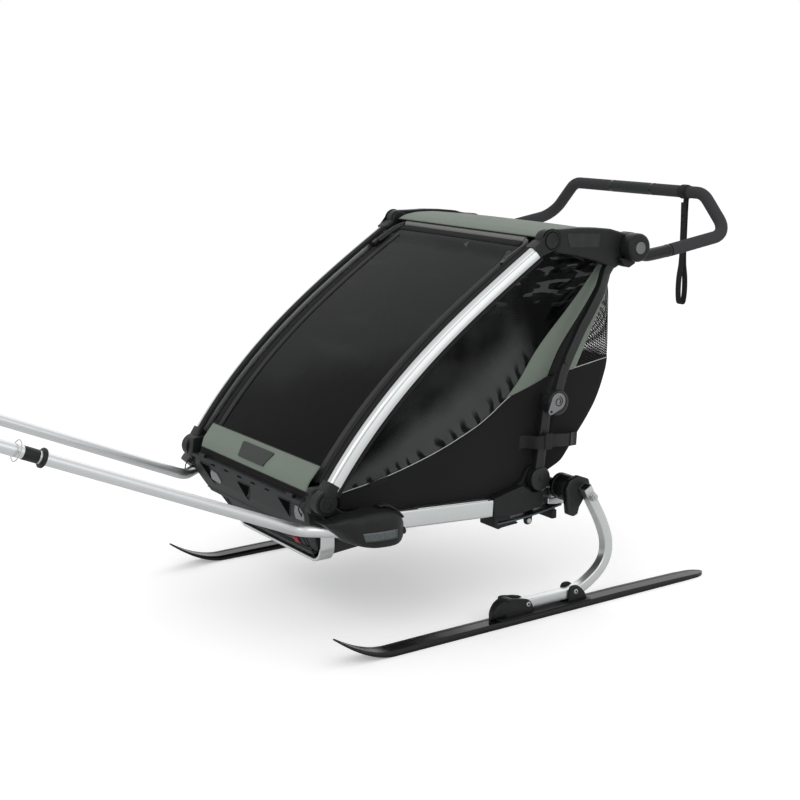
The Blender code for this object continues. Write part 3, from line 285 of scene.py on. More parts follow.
class Form:
    """Gathers surfaces into one mesh, with a UV map that is measured in metres along the surfaces."""

    def __init__(self, sign=1):
        self.sign = sign
        self.points, self.faces, self.marks, self.uvs = [], [], [], []
        self.count = 0

    def grid(self, points, wrap_rows=False, wrap=False, caps=False, flip=False, finish=0):
        """Add a grid of points. Wrap joins its columns, wrap_rows its rows, and caps close its two end rings.

        A closed surface is turned to face outward by the sign of its volume, and flip turns an open one.
        """
        points = np.array(points, float)
        rows, columns = points.shape[:2]
        number = np.arange(rows * columns).reshape(rows, columns)
        shown = points
        if wrap_rows:
            number, shown = shut(number), np.concatenate((shown, shown[:1]), axis=0)
        if wrap:
            number, shown = np.hstack((number, number[:, :1])), np.concatenate((shown, shown[:, :1]), axis=1)
        u, v = lengths(shown, 0), lengths(shown, 1)
        quads = np.stack((number[:-1, :-1], number[1:, :-1], number[1:, 1:], number[:-1, 1:]), axis=-1).reshape(-1, 4)
        place = np.stack(np.meshgrid(u, v, indexing="ij"), axis=-1)
        corner = np.stack((place[:-1, :-1], place[1:, :-1], place[1:, 1:], place[:-1, 1:]), axis=-2).reshape(-1, 4, 2)
        flat = points.reshape(-1, 3)
        if caps or (wrap and wrap_rows):
            a, b, c, d = (flat[quads[:, k]] for k in range(4))
            volume = np.sum(a * np.cross(b, c)) + np.sum(a * np.cross(c, d))
            if caps:
                for ring, way in ((points[0], 1.0), (points[-1], -1.0)):
                    middle = ring.mean(axis=0)
                    volume += way * np.sum(middle * np.cross(ring, np.roll(ring, -1, axis=0)))
            flip = volume < 0
        if self.sign < 0:
            flat = flat * (-1, 1, 1)
            flip = not flip
        if flip:
            quads, corner = quads[:, ::-1], corner[:, ::-1]
        self.faces += (quads + self.count).tolist()
        self.uvs += corner.reshape(-1, 2).tolist()
        self.marks += [finish] * len(quads)
        if caps:
            for ring, last in ((number[0, :columns], False), (number[-1, :columns], True)):
                ring = ring[::-1] if last == flip else ring
                self.faces.append((ring + self.count).tolist())
                self.uvs += (flat[ring][:, 1:]).tolist()
                self.marks.append(finish)
        self.points.append(flat)
        self.count += len(flat)
        return self

    def solid(self, points, finish=0):
        """Add a closed surface: rings of points with their ends capped."""
        return self.grid(points, wrap=True, caps=True, finish=finish)

    def turn(self, profile, centre, count=48, finish=0, axis=0):
        """Add a profile turned about a line along X, or along Y with axis 1."""
        return self.solid(turned(profile, centre, count, axis), finish)

    def about(self, profile, base, direction, count=40, finish=0):
        """Add a profile turned about any line."""
        return self.solid(turned_about(profile, base, direction, count), finish)

    def plate(self, outline, inner, outer, finish=0, **rims):
        """Add a moulded plate."""
        return self.solid(moulded(outline, inner, outer, **rims), finish)

    def rod(self, path, section, finish=0, across=(1, 0, 0), swell=None):
        """Add a solid section carried along a path."""
        return self.solid(carry(path, section, across, swell), finish)

    def tube(self, path, radius, count=24, finish=0, across=(1, 0, 0)):
        """Add a round bar carried along a path."""
        return self.rod(path, circle((0, 0), radius, count), finish, across)

    def object(self, name):
        """The mesh object, with every point moved back by SHIFT."""
        points = np.concatenate(self.points)
        points[:, 1] += SHIFT
        mesh = bpy.data.meshes.new(name)
        mesh.from_pydata(points.tolist(), [], self.faces)
        layer = mesh.uv_layers.new(name="Surface")
        layer.data.foreach_set("uv", np.asarray(self.uvs, np.float32).ravel())
        mesh.polygons.foreach_set("material_index", np.asarray(self.marks, np.int32))
        item = bpy.data.objects.new(name, mesh)
        bpy.context.scene.collection.objects.link(item)
        return item


# Materials written as expressions


class Wire:
    """A shader socket whose arithmetic adds Math nodes."""

    def __init__(self, finish, socket):
        self.finish, self.socket = finish, socket

    def math(self, operation, *others):
        """One Math node on this value and others."""
        inputs = dict(enumerate((self, *others)))
        return self.finish.add("ShaderNodeMath", {"operation": operation}, inputs)

    def __add__(self, other):
        return self.math("ADD", other)

    __radd__ = __add__

    def __sub__(self, other):
        return self.math("SUBTRACT", other)

    def __rsub__(self, other):
        return self.math("MULTIPLY", -1.0) + other

    def __mul__(self, other):
        return self.math("MULTIPLY", other)

    __rmul__ = __mul__

    def over(self, edge):
        """1 where the value is greater than the edge, 0 elsewhere."""
        return self.math("GREATER_THAN", edge)

    def soft(self, low, high):
        """0 below low, 1 above high, and a smooth step between them."""
        inputs = {"Value": self, "From Min": low, "From Max": high}
        return self.finish.add("ShaderNodeMapRange", {"interpolation_type": "SMOOTHSTEP"}, inputs)


class Finish:
    """One material's node tree."""

    def __init__(self, name, base, roughness, metallic=0.0, **plain):
        self.material = bpy.data.materials.new(name)
        self.material.use_nodes = True
        self.tree = self.material.node_tree
        self.shader = self.tree.nodes["Principled BSDF"]
        self.set("Base Color", (*base, 1.0))
        self.set("Roughness", roughness)
        self.set("Metallic", metallic)
        for key, value in plain.items():
            self.set(key.replace("_", " "), value)

    def set(self, key, value):
        """Give a socket of the Principled shader a value or a link."""
        self.join(self.shader.inputs[key], value)

    def join(self, socket, value):
        """Link a wire to a socket, or write a plain value into it."""
        if isinstance(value, Wire):
            self.tree.links.new(value.socket, socket)
        else:
            socket.default_value = value

    def add(self, kind, settings=None, inputs=None, output=0):
        """Add a node, set it up, join its sockets, and return one of its outputs."""
        node = self.tree.nodes.new(kind)
        for key, value in (settings or {}).items():
            setattr(node, key, value)
        for key, value in (inputs or {}).items():
            self.join(node.inputs[key], value)
        return Wire(self, node.outputs[output])

    def coordinates(self, kind="Object", scale=(1, 1, 1), turn=(0, 0, 0)):
        """Object or UV coordinates, scaled and turned."""
        place = self.add("ShaderNodeTexCoord", output=kind)
        return self.add("ShaderNodeMapping", None, {"Vector": place, "Scale": scale, "Rotation": turn})

    def parts(self, vector):
        """The X, Y and Z of a vector."""
        node = self.tree.nodes.new("ShaderNodeSeparateXYZ")
        self.join(node.inputs[0], vector)
        return [Wire(self, node.outputs[k]) for k in range(3)]

    def noise(self, vector, scale, detail=4.0, rough=0.5):
        """Fractal noise between 0 and 1."""
        inputs = {"Vector": vector, "Scale": scale, "Detail": detail, "Roughness": rough}
        return self.add("ShaderNodeTexNoise", None, inputs)

    def surface(self):
        """The two UV coordinates, in metres along the surface."""
        return self.parts(self.add("ShaderNodeTexCoord", output="UV"))[:2]

    def blend(self, share, first, second):
        """A colour between two, by a share."""
        node = self.tree.nodes.new("ShaderNodeMix")
        node.data_type = "RGBA"
        self.join(node.inputs[0], share)
        self.join(node.inputs[6], first if isinstance(first, Wire) else (*first, 1.0))
        self.join(node.inputs[7], second if isinstance(second, Wire) else (*second, 1.0))
        return Wire(self, node.outputs[2])

    def dress(self, colour, roughness, height, strength, distance):
        """Set colour and roughness, feed a height into the normal, and return the material."""
        self.set("Base Color", colour)
        self.set("Roughness", roughness)
        inputs = {"Height": height, "Strength": strength, "Distance": distance}
        self.set("Normal", self.add("ShaderNodeBump", None, inputs))
        return self.material


def tone(red, green, blue):
    """A screen colour of 0 to 255 as linear light."""
    share = np.array((red, green, blue)) / 255
    return tuple(float(c) for c in np.where(share <= 0.04045, share / 12.92, ((share + 0.055) / 1.055) ** 2.4))


def shade(colour, factor):
    """A colour made darker or lighter."""
    return tuple(min(c * factor, 1.0) for c in colour[:3])


def brushed_metal(name, colour, kind="Object", grain=(60, 3, 60), roughness=0.3):
    """Anodised aluminium: fine lines along the piece, in colour, roughness and height."""
    f = Finish(name, colour, roughness, 1.0)
    lines = f.noise(f.coordinates(kind, grain), 14.0, 5.0, 0.65)
    cloud = f.noise(f.coordinates(kind), 9.0, 2.0)
    tint = f.blend(lines * 0.6 + cloud * 0.4, shade(colour, 0.9), shade(colour, 1.06))
    return f.dress(tint, lines * 0.16 + (roughness - 0.08) + cloud * 0.06, lines, 0.1, 0.0004)


def moulding(name, colour, roughness=0.46, grain=900.0, spec=0.24):
    """Moulded plastic with a fine spark-eroded grain and faint handling marks."""
    f = Finish(name, colour, roughness, Specular_IOR_Level=spec)
    place = f.coordinates()
    fine, marks = f.noise(place, grain, 2.0), f.noise(place, 26.0, 5.0, 0.6)
    tint = f.blend(marks.soft(0.35, 0.75), shade(colour, 0.88), shade(colour, 1.16))
    return f.dress(tint, marks * 0.14 + fine * 0.08 + (roughness - 0.11), fine, 0.22, 0.0003)


def coated_tube(name, colour):
    """Powder coating with its faint orange peel."""
    f = Finish(name, colour, 0.38, Specular_IOR_Level=0.35)
    peel = f.noise(f.coordinates(), 420.0, 2.0)
    return f.dress(f.blend(peel, shade(colour, 0.9), shade(colour, 1.1)), peel * 0.16 + 0.3, peel, 0.16, 0.0004)


def woven(name, colour, pitch=0.0011, heather=0.22, roughness=0.88, spec=0.12, sheen=0.15):
    """Plain weave: threads over and under along both directions of the piece, with heathered yarn.

    The height is |sin(u)| where a warp thread is on top and |sin(v)| where a weft thread is, in checks.
    """
    f = Finish(name, colour, roughness, Specular_IOR_Level=spec, Sheen_Weight=sheen, Sheen_Roughness=0.5)
    u, v = f.surface()
    turns = math.pi / pitch
    warp, weft = (u * turns).math("SINE").math("ABSOLUTE"), (v * turns).math("SINE").math("ABSOLUTE")
    check = ((u * (0.5 * turns)).math("SINE") * (v * (0.5 * turns)).math("SINE")).over(0.0)
    height = warp * check + weft * (1 - check)
    place = f.coordinates()
    yarn, cloud = f.noise(place, 620.0, 3.0, 0.7), f.noise(place, 7.0, 4.0)
    fade = (yarn * 0.55 + height * 0.25 + cloud * 0.2).soft(0.25, 0.8)
    tint = f.blend(fade, shade(colour, 1 - heather), shade(colour, 1 + heather))
    return f.dress(tint, roughness - height * 0.06 + cloud * 0.05, height * 0.7 + yarn * 0.3, 0.35, 0.0005)


def film(name, colour, alpha, painted_puckers=False):
    """Tinted window film: see-through, with faint dust.

    A puckered film is gathered by its seam: dark dimples, sin(2 pi v / 42 mm + noise), lie in a grey zone that
    fades out 110 mm from it, and creases of stretched noise catch the light under the roof. A plain one, the
    front window, mirrors a pale room more and more towards its top.
    """
    f = Finish(name, colour, 0.1, Specular_IOR_Level=0.05)
    place = f.coordinates()
    dust = f.noise(place, 240.0, 3.0)
    f.set("Roughness", dust * 0.06 + 0.09)
    f.set("Alpha", dust * 0.02 + (alpha - 0.01))
    if painted_puckers:
        u, v = f.surface()
        cloud = f.noise(place, 9.0, 3.0, 0.45)
        # Painted shade: a row of dark dimples along the seam.
        dimple_shade = (v * (TAU / 0.042) + cloud * 14.0).math("SINE").soft(0.0, 0.9) * (1 - u.soft(0.012, 0.034))
        # Painted sheen: a grey zone by the seam, broken by the painted shade of the dimples.
        near = (1 - u.soft(0.04, 0.11)) * (1 - v.soft(0.56, 0.7)) * (1 - dimple_shade * 0.95)
        _, _, high = f.parts(place)
        folds = f.noise(f.coordinates("Object", (1, 2.2, 9), (0.5, 0, 0)), 7.0, 2.0, 0.35)
        # Painted highlights on the creases under the roof.
        crease = folds.soft(0.56, 0.6) * high.soft(0.74, 0.8)
        # A faint cloudy painted sheen outside the dimples.
        painted_haze = cloud.soft(0.35, 0.75) * 0.3 * (1 - dimple_shade)
        # The colour runs from the film's tint to a pale grey by this painted light and shade.
        light = (near * 0.95 + crease * 0.9 + painted_haze).math("MINIMUM", 1.0)
        f.set("Base Color", f.blend(light, colour, tone(70, 72, 71)))
    else:
        x, _, high = f.parts(place)
        cloud = f.noise(place, 4.0, 2.0, 0.4)
        # Painted reflection of a pale room, stronger towards the top and to one side.
        upper = (high - x * 0.22 + cloud * 0.12).soft(0.6, 0.72) * 0.7
        streaks = f.noise(f.coordinates("Object", (1, 1, 6), (0.3, 0.2, 0)), 5.0, 2.0, 0.4)
        # Painted highlight streaks inside that reflection.
        painted_gleam = streaks.soft(0.56, 0.62) * upper * 0.35
        # The colour runs from the film's tint to the grey of the painted reflection.
        f.set("Base Color", f.blend(upper + painted_gleam, colour, tone(42, 45, 43)))
    return f.material


def netting(name, colour, pitch, wire):
    """Knitted net: round holes in offset rows, cut by alpha.

    A hole is where |cos(pi (u + v) / pitch) cos(pi (u - v) / pitch)| is above the share of wire.
    """
    f = Finish(name, colour, 0.85, Specular_IOR_Level=0.1)
    u, v = f.surface()
    turn = math.pi / pitch
    hole = (((u + v) * turn).math("COSINE") * ((u - v) * turn).math("COSINE")).math("ABSOLUTE")
    f.set("Alpha", 1 - hole.soft(wire, wire + 0.18))
    return f.dress(f.blend(hole, shade(colour, 1.3), shade(colour, 0.7)), 0.85, hole, 0.5, 0.0008)


def foam_grip(name, colour):
    """Closed-cell foam: fine pores and a matt skin."""
    f = Finish(name, colour, 0.92, Specular_IOR_Level=0.18)
    place = f.coordinates()
    pores, cloud = f.noise(place, 520.0, 4.0, 0.7), f.noise(place, 30.0, 3.0)
    tint = f.blend(pores * 0.7 + cloud * 0.3, shade(colour, 0.75), shade(colour, 1.25))
    return f.dress(tint, pores * 0.1 + 0.86, pores, 0.4, 0.0006)


def strap_weave(name, colour, pitch=0.0016):
    """Narrow webbing: herringbone ribs, sin(2 pi u / pitch + 2.5 |sin(pi v / 2 pitch)|)."""
    f = Finish(name, colour, 0.8, Specular_IOR_Level=0.15)
    u, v = f.surface()
    turns = TAU / pitch
    zig = (v * (turns * 0.25)).math("SINE").math("ABSOLUTE") * 2.5
    rib = (u * turns + zig).math("SINE") * 0.5 + 0.5
    return f.dress(f.blend(rib, shade(colour, 0.7), shade(colour, 1.35)), rib * 0.1 + 0.72, rib, 0.4, 0.0004)


def gloss_base(name, colour):
    """A ski's moulded top sheet: glossy, with fine scratches along its length."""
    f = Finish(name, colour, 0.2, Specular_IOR_Level=0.22, Coat_Weight=0.1, Coat_Roughness=0.12)
    scratches = f.noise(f.coordinates("Object", (90, 2.5, 90)), 12.0, 6.0, 0.7)
    cloud = f.noise(f.coordinates(), 18.0, 3.0)
    tint = f.blend(scratches.soft(0.6, 0.95), colour, shade(colour, 1.8))
    return f.dress(tint, scratches.soft(0.55, 0.9) * 0.2 + cloud * 0.08 + 0.16, scratches, 0.06, 0.0003)


def reflector(name, colour):
    """Retro-reflective plastic: small cube corners in a honeycomb."""
    f = Finish(name, colour, 0.3, 0.25)
    inputs = {"Vector": f.coordinates(), "Scale": 420.0}
    cells = f.add("ShaderNodeTexVoronoi", {"feature": "DISTANCE_TO_EDGE"}, inputs)
    tint = f.blend(cells.soft(0.02, 0.12), shade(colour, 0.75), shade(colour, 1.15))
    return f.dress(tint, cells * 0.3 + 0.24, cells, 0.3, 0.0006)


def zip_tape(name, colour, pitch=0.0022):
    """A zip's tape with its teeth across it, sin(2 pi u / pitch)."""
    f = Finish(name, colour, 0.7, Specular_IOR_Level=0.2)
    u, _ = f.surface()
    teeth = (u * (TAU / pitch)).math("SINE") * 0.5 + 0.5
    share = teeth * 0.35 + f.noise(f.coordinates(), 500.0) * 0.4
    return f.dress(f.blend(share, shade(colour, 0.8), shade(colour, 1.2)), teeth * 0.1 + 0.62, teeth, 0.25, 0.0004)


FINISHES = {}


def finish(name):
    """The material of that name, made when it is first asked for."""
    if name not in FINISHES:
        FINISHES[name] = MAKERS[name](bpy.context.scene.trailer_colours)
    return FINISHES[name]


MAKERS = {
    "aluminium": lambda c: brushed_metal("brushed_aluminium", tone(206, 209, 209)),
    "aluminium_along": lambda c: brushed_metal("brushed_aluminium_along", tone(206, 209, 209), "UV", (2, 110, 1)),
    "satin_silver": lambda c: brushed_metal("satin_silver_tube", tone(206, 208, 209), "UV", (3, 40, 1), 0.36),
    "moulding": lambda c: moulding("black_moulding", c.moulding),
    "moulding_light": lambda c: moulding("dark_grey_moulding", shade(c.moulding, 2.2), 0.55),
    "black_gloss": lambda c: moulding("smooth_black_cap", shade(c.moulding, 0.45), 0.28, 300.0, 0.35),
    # Near-black, matt and nearly without specular: painted shade, laid on the rings, pockets, gaps and seams where
    # recesses fall into shade.
    "painted_recess_shade": lambda c: moulding("painted_shade_recesses", tone(6, 6, 6), 0.9, 500.0, 0.02),
    "tube": lambda c: coated_tube("black_powder_coat", shade(c.moulding, 1.05)),
    "foam": lambda c: foam_grip("handle_foam", c.foam),
    "wrap": lambda c: woven("grip_wrap", tone(44, 52, 49), 0.0018, 0.15),
    "sage": lambda c: woven("sage_cloth", c.sage),
    # The sage cloth darkened to 0.92 for the side and rear strips: painted shade of the same cloth on its side-facing
    # strips.
    "sage_shade": lambda c: woven("sage_cloth_painted_shade", shade(c.sage, 0.92)),
    "black_cloth": lambda c: woven("black_cloth", c.cloth, 0.0013, 0.3, 0.9, 0.1, 0.08),
    "border": lambda c: woven("black_border", shade(c.cloth, 1.3), 0.0009, 0.2, 0.85, 0.1, 0.05),
    "seat_cloth": lambda c: woven("seat_cloth", shade(c.cloth, 1.5), 0.002, 0.3, 0.92, 0.08, 0.12),
    "film": lambda c: film("front_window_film", c.film, 0.78),
    "side_film": lambda c: film("side_window_film", c.film, 0.9, True),
    "net": lambda c: netting("black_net", shade(c.cloth, 1.2), 0.0066, 0.5),
    "webbing": lambda c: strap_weave("black_webbing", shade(c.cloth, 2.0)),
    "piping": lambda c: moulding("reflective_piping", tone(176, 180, 180), 0.45, 600.0),
    "ski": lambda c: gloss_base("ski_top_sheet", c.ski),
    "reflector": lambda c: reflector("clear_grey_reflector", tone(112, 115, 116)),
    "dark_reflector": lambda c: reflector("dark_reflector", tone(76, 82, 84)),
    "steel": lambda c: brushed_metal("zinc_steel", tone(190, 192, 190), "Object", (30, 30, 30), 0.34),
    "dark_steel": lambda c: brushed_metal("dark_spring_steel", tone(84, 92, 96), "UV", (3, 60, 1), 0.42),
    "button": lambda c: moulding("grey_button", tone(108, 110, 112), 0.42),
    "roller": lambda c: coated_tube("grey_roller", tone(112, 113, 110)),
    "lever": lambda c: brushed_metal("grey_lever", tone(128, 130, 131), "Object", (20, 20, 20), 0.4),
    "zip": lambda c: zip_tape("grey_zip_tape", tone(52, 53, 52)),
    "red": lambda c: woven("red_tag", tone(150, 28, 44), 0.0008),
    "bare_plate": lambda c: moulding("bare_plate", tone(40, 44, 43), 0.38, 700.0),
}


def put(form, name, body, finishes, replaces=(), smooth=35.0):
    """Turn a form into a piece: shade it, dress it, hang it on a body and name its slot."""
    item = form.object(name)
    for key in finishes if isinstance(finishes, (list, tuple)) else [finishes]:
        item.data.materials.append(finish(key))
    item.data.shade_smooth()
    item.data.set_sharp_from_angle(angle=math.radians(smooth))
    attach(item, body)
    if replaces:
        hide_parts(*replaces)
    return item


def thick(item, amount):
    """Give a sheet its wall with Solidify, half to each side."""
    wall = item.modifiers.new("wall", "SOLIDIFY")
    wall.thickness = amount
    wall.offset = 0.0
    wall.use_even_offset = True
    return item


def cloth(grid, name, body, key, wall, sign=1, flip=False, slot="black_fabric", replaces=()):
    """A sheet of cloth or film with its wall, as one piece."""
    return thick(put(Form(sign).grid(grid, flip=flip), name, body, key, replaces), wall)


def crumple(item):
    """Cloth on the chassis flattens towards the rails as the frame folds."""
    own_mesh(item)
    return item


def sink(item):
    """The bag's cloth flattens further, to stay below the roof's rear edge."""
    return crumple(item)


def side_points(points, x):
    """(y, z) points lifted to a plane of constant x."""
    points = np.asarray(points, float)
    return np.column_stack((np.full(len(points), x), points))


def level(x, y, z):
    """Points with the given x on a line across the trailer."""
    return np.stack(np.broadcast_arrays(x, y, z), axis=1)


def bow(share, outward=0.0):
    """The front pillar's line: the chord from pivot to pivot, pushed out by 0.05 sin(pi * share ^ 0.8)."""
    share = np.asarray(share, float)
    chord = TOP - FRONT
    normal = np.array((-chord[1], chord[0])) / np.hypot(*chord)
    lift = 0.05 * np.sin(math.pi * np.clip(share, 0, None) ** 0.8) + outward
    return FRONT + chord * share[:, None] + normal * lift[:, None]


def bolt(form, centre, x, radius, head, finish):
    """A cap screw seen end on: a turned head with a hexagonal socket sunk into it."""
    face, rim = x + head, radius * 0.6
    form.turn([(x - 0.004, radius), (x + head * 0.7, radius), (face, radius * 0.86), (face, rim)], centre, 32, finish)
    socket = [(face + 0.00005, rim), (x + head * 0.98, radius * 0.5), (x + head * 0.35, radius * 0.45)]
    form.turn(socket, centre, 6, 1)


# The front frame


def build_pillars():
    """Silver two-faced pillars with the groove at their corner, and the black fabric edges that frame them."""
    section = np.array([
        (-0.0205, -0.0145), (0.018, -0.0145), (0.0205, -0.013), (0.021, -0.0105), (0.02, -0.004),
        (0.0186, 0.0022), (0.0174, 0.0062), (0.0166, 0.0072), (0.0156, 0.0068), (0.0152, 0.0082), (0.0144, 0.0104),
        (0.0118, 0.0128), (0.008, 0.0141), (0.0, 0.0145), (-0.0175, 0.014), (-0.0198, 0.0128), (-0.0205, 0.01),
    ])
    for side, sign in SIDES:
        line = side_points(bow(np.linspace(0.04, 0.943, 96)), PILLAR_X)
        form = Form(sign).rod(line, section)
        groove = np.array([(0.0164, 0.0075), (0.0154, 0.0071), (0.015, 0.005), (0.0162, 0.005)])
        form.rod(side_points(bow(np.linspace(0.034, 0.94, 96)), PILLAR_X), groove, 1)
        put(form, "pillar_" + side + "_face", "front_frame", ["aluminium_along", "black_gloss"],
            ["pillar_" + side], 22)
        trim = Form(sign)
        share = np.linspace(0.036, 0.945, 80)
        trim.rod(side_points(bow(share, 0.0128), 0.314), square_tube(0.0125, 0.0036, 0.0026, 4))
        trim.rod(side_points(bow(share, 0.015), 0.3062), square_tube(0.0036, 0.0034, 0.002, 4))
        trim.rod(side_points(bow(share, -0.0205), 0.333), square_tube(0.0105, 0.007, 0.0035, 4))
        put(trim, "pillar_trim_" + side, "front_frame", "border")


def build_sockets():
    """The moulded sockets at the pillars' ends and the turned caps of the front pivots."""
    for side, sign in SIDES:
        foot = Form(sign)
        share = np.linspace(0.01, 0.052, 10)
        foot.rod(side_points(bow(share, -0.001), SOCKET_X), square_tube(0.0212, 0.0176, 0.005, 5))
        foot.turn([(0.3158, 0.027), (0.3175, 0.0295), (0.342, 0.0295), (0.3436, 0.028)], FRONT, 56)
        put(foot, "pillar_socket_" + side, "front_frame", "moulding", ["pillar_foot_" + side])
        head = Form(sign)
        share = np.linspace(0.94, 0.974, 8)
        head.rod(side_points(bow(share), SOCKET_X), square_tube(0.0212, 0.016, 0.0055, 5),
                 swell=np.linspace(1.02, 0.98, 8))
        end = bow(np.array((0.95,)))[0]
        way = unit(TOP - end)
        wing = np.array((-way[1], way[0]))
        round_end = circle(TOP, PIVOT_ROUND, 40, math.degrees(math.atan2(-wing[1], -wing[0])), 180)
        knuckle = even(np.vstack((round_end, [end + wing * 0.015, end - wing * 0.015])), 90, closed=True)
        head.plate(knuckle, 0.3442, 0.3472, round_inner=0.0004, round_outer=0.0022, steps=6)
        head.turn([(0.3085, 0.0225), (0.31, 0.024), (0.3255, 0.024), (0.3264, 0.023)], TOP, 48)
        head.turn([(0.346, 0.02), (0.3478, 0.02), (0.3484, 0.0192), (0.3484, 0.0152), (0.3479, 0.0144),
                   (0.3479, 0.002)], TOP, 48)
        # Two thin rings in the near-black recess finish: painted shade round the pivot cap's edges.
        for radius, x in ((0.0212, 0.3472), (0.0278, 0.345)):
            ring = circle(TOP, radius, 60)
            head.rod(side_points(shut(ring), x), square_tube(0.0008, 0.001, 0.0003, 3), 1)
        put(head, "pillar_cap_" + side, "front_frame", ["moulding", "painted_recess_shade"],
            ["pillar_head_" + side])


def build_window():
    """The tinted front window with its black border, zip strips, roller and keepers.

    The film follows the pillars' line, and its crown adds 0.001 (1 - u^2).
    """
    rows, foot_half, half_width, top_half = 78, 0.268, 0.2885, 0.262
    low = bow(np.linspace(0.04, 0.9, 66), -0.0035)
    line = even(np.vstack((low, [(0.606, 0.896), (0.6335, 0.9105)])), rows)
    across = np.linspace(-1, 1, 41)
    half = np.interp(np.linspace(0, 1, rows), (0.0, 0.04, 0.9, 1.0), (foot_half, half_width, half_width, top_half))
    sheet = np.zeros((rows, 41, 3))
    sheet[..., 0] = half[:, None] * across
    sheet[..., 1:] = line[:, None]
    sheet[..., 2] += 0.001 * (1 - across**2)
    cloth(sheet, "front_window", "front_frame", "film", 0.001, slot="window", replaces=["front_cover"])
    normal = line_normal(line)
    border, zips = Form(), Form()
    strips = ((border, 0.93, 1.004, 0.0016), (border, 0.856, 0.868, 0.0016), (zips, 0.868, 0.926, 0.0022))
    for edge in (-1, 1):
        for form, inner, outer, lift in strips:
            strip = np.zeros((rows - 4, 5, 3))
            strip[..., 0] = edge * half[:-4, None] * np.linspace(inner, outer, 5)
            strip[..., 1:] = (line + normal * lift)[:-4, None]
            form.grid(strip, flip=edge > 0)
    strip = np.zeros((3, 41, 3))
    strip[..., 0] = across * top_half
    strip[..., 1:] = (line + normal * 0.0018)[-3:, None]
    border.grid(strip)
    thick(put(border, "window_border", "front_frame", "border"), 0.0014)
    thick(put(zips, "window_zip", "front_frame", "zip"), 0.001)
    foot = bow(np.array((0.88,)), 0.006)[0]
    x, top = 0.284, (0.641, 0.915)
    path = even(bent([(-x, *foot), (-x, *top), (x, *top), (x, *foot)], 0.04, 14), 150)
    legs, ref = np.abs(path[:, 0]) > 0.262, (0.3, 0.5, -0.8)
    roller = Form().tube(path[~legs], 0.0095, across=ref)
    for part in (path[:75][legs[:75]], path[75:][legs[75:]]):
        roller.tube(part, 0.0098, finish=1, across=ref)
    put(roller, "roller_tube", "front_frame", ["roller", "black_gloss"], ["window_roller"])
    keeper = Form()
    for edge in (-1, 1):
        place = side_points(bow(np.linspace(0.862, 0.884, 5), 0.002), edge * 0.286)
        keeper.rod(place, square_tube(0.0078, 0.0125, 0.0025, 4))
    put(keeper, "roller_keepers", "front_frame", "black_gloss")


def build_band():
    """The sage band at the foot of the window, with its skirt, hems and bare badge plate.

    The band is bent at a fold, and its middle is pushed forward by 0.0022 sin(pi v) (1 - u^6).
    """
    fold, head, head_y = 0.393, 0.429, 0.03
    rows = np.linspace(0, 1, 14)
    across = np.linspace(-1, 1, 61)
    y = np.interp(rows, (0, 0.35, 1), (-0.0085, -0.001, head_y))
    z = np.interp(rows, (0, 0.35, 1), (0.3705, fold, head))
    grid = np.zeros((14, 61, 3))
    grid[..., 0] = (0.266 + 0.003 * rows[:, None]) * across
    grid[..., 1] = y[:, None] - 0.0022 * np.sin(math.pi * rows)[:, None] * (1 - across**6)
    grid[..., 2] = z[:, None]
    cloth(grid, "front_band", "front_frame", "sage", 0.0022, slot="sage_fabric")
    skirt = between(level(across * 0.264, -0.004, 0.376), level(across * 0.286, -0.006, 0.347), 5)
    cloth(skirt, "band_skirt", "front_frame", "border", 0.0016)
    hem = Form()
    for row, radius in ((0, 0.0016), (13, 0.0013)):
        hem.tube(grid[row] + (0, -0.001, 0), radius, 10, across=(0, 0.3, 1))
    put(hem, "band_hems", "front_frame", "border")
    outline = bent([(-0.084, 0.4275), (0.076, 0.4275), (0.06, 0.386), (-0.066, 0.386)], 0.005, 6, closed=True)
    plate = moulded(outline, 0.0, 0.0028, 0.0004, 0.0012, 4)
    lean = unit(np.array((head_y + 0.001, head - fold)))
    up = plate[..., 2] - fold
    placed = np.stack((plate[..., 1], -0.0034 + up * lean[0] - plate[..., 0] * lean[1],
                       fold + up * lean[1] + plate[..., 0] * lean[0]), axis=-1)
    put(Form().solid(placed), "band_plate", "front_frame", "bare_plate")


# The top frame


def housing_outline():
    """The side housing's outline, from the top pivot's round end to the hub's."""
    line = np.vstack((
        circle(TOP, PIVOT_ROUND, 18, 232, -132),
        [(0.69, 0.947), (0.74, 0.9474), (0.795, 0.944), (0.845, 0.9385)],
        circle(HANDLE, 0.0372, 22, 112, -218),
        [(0.862, 0.838), (0.835, 0.847), (0.8, 0.859), (0.76, 0.8705), (0.715, 0.8812), (0.678, 0.887)],
    ))
    return even(line, 170, closed=True)


def build_housings():
    """The moulded housings with their shallow bare recess, the pivot's ring and the latch under the hub."""
    outline = housing_outline()
    recess = bent([(0.696, 0.9355), (0.808, 0.929), (0.804, 0.8955), (0.708, 0.9005)], 0.005, 6, closed=True)
    under_hub = [(0.862, 0.866), (0.878, 0.844), (0.895, 0.839), (0.914, 0.848), (0.916, 0.858)]
    latch = bent(under_hub, 0.0016, 4, closed=True)
    for side, sign in SIDES:
        form = Form(sign)
        form.plate(outline, 0.3165, 0.344, round_inner=0.002, round_outer=0.0062, steps=7)
        form.plate(recess, 0.3425, 0.34445, round_inner=0.0002, round_outer=0.0004, finish=1)
        form.tube(side_points(shut(recess), 0.3441), 0.0008, 8, 2)
        form.plate(latch, 0.333, 0.359, round_inner=0.001, round_outer=0.002)
        put(form, "housing_" + side, "top_frame", ["moulding", "bare_plate", "black_gloss"],
            ["top_housing_" + side], 30)


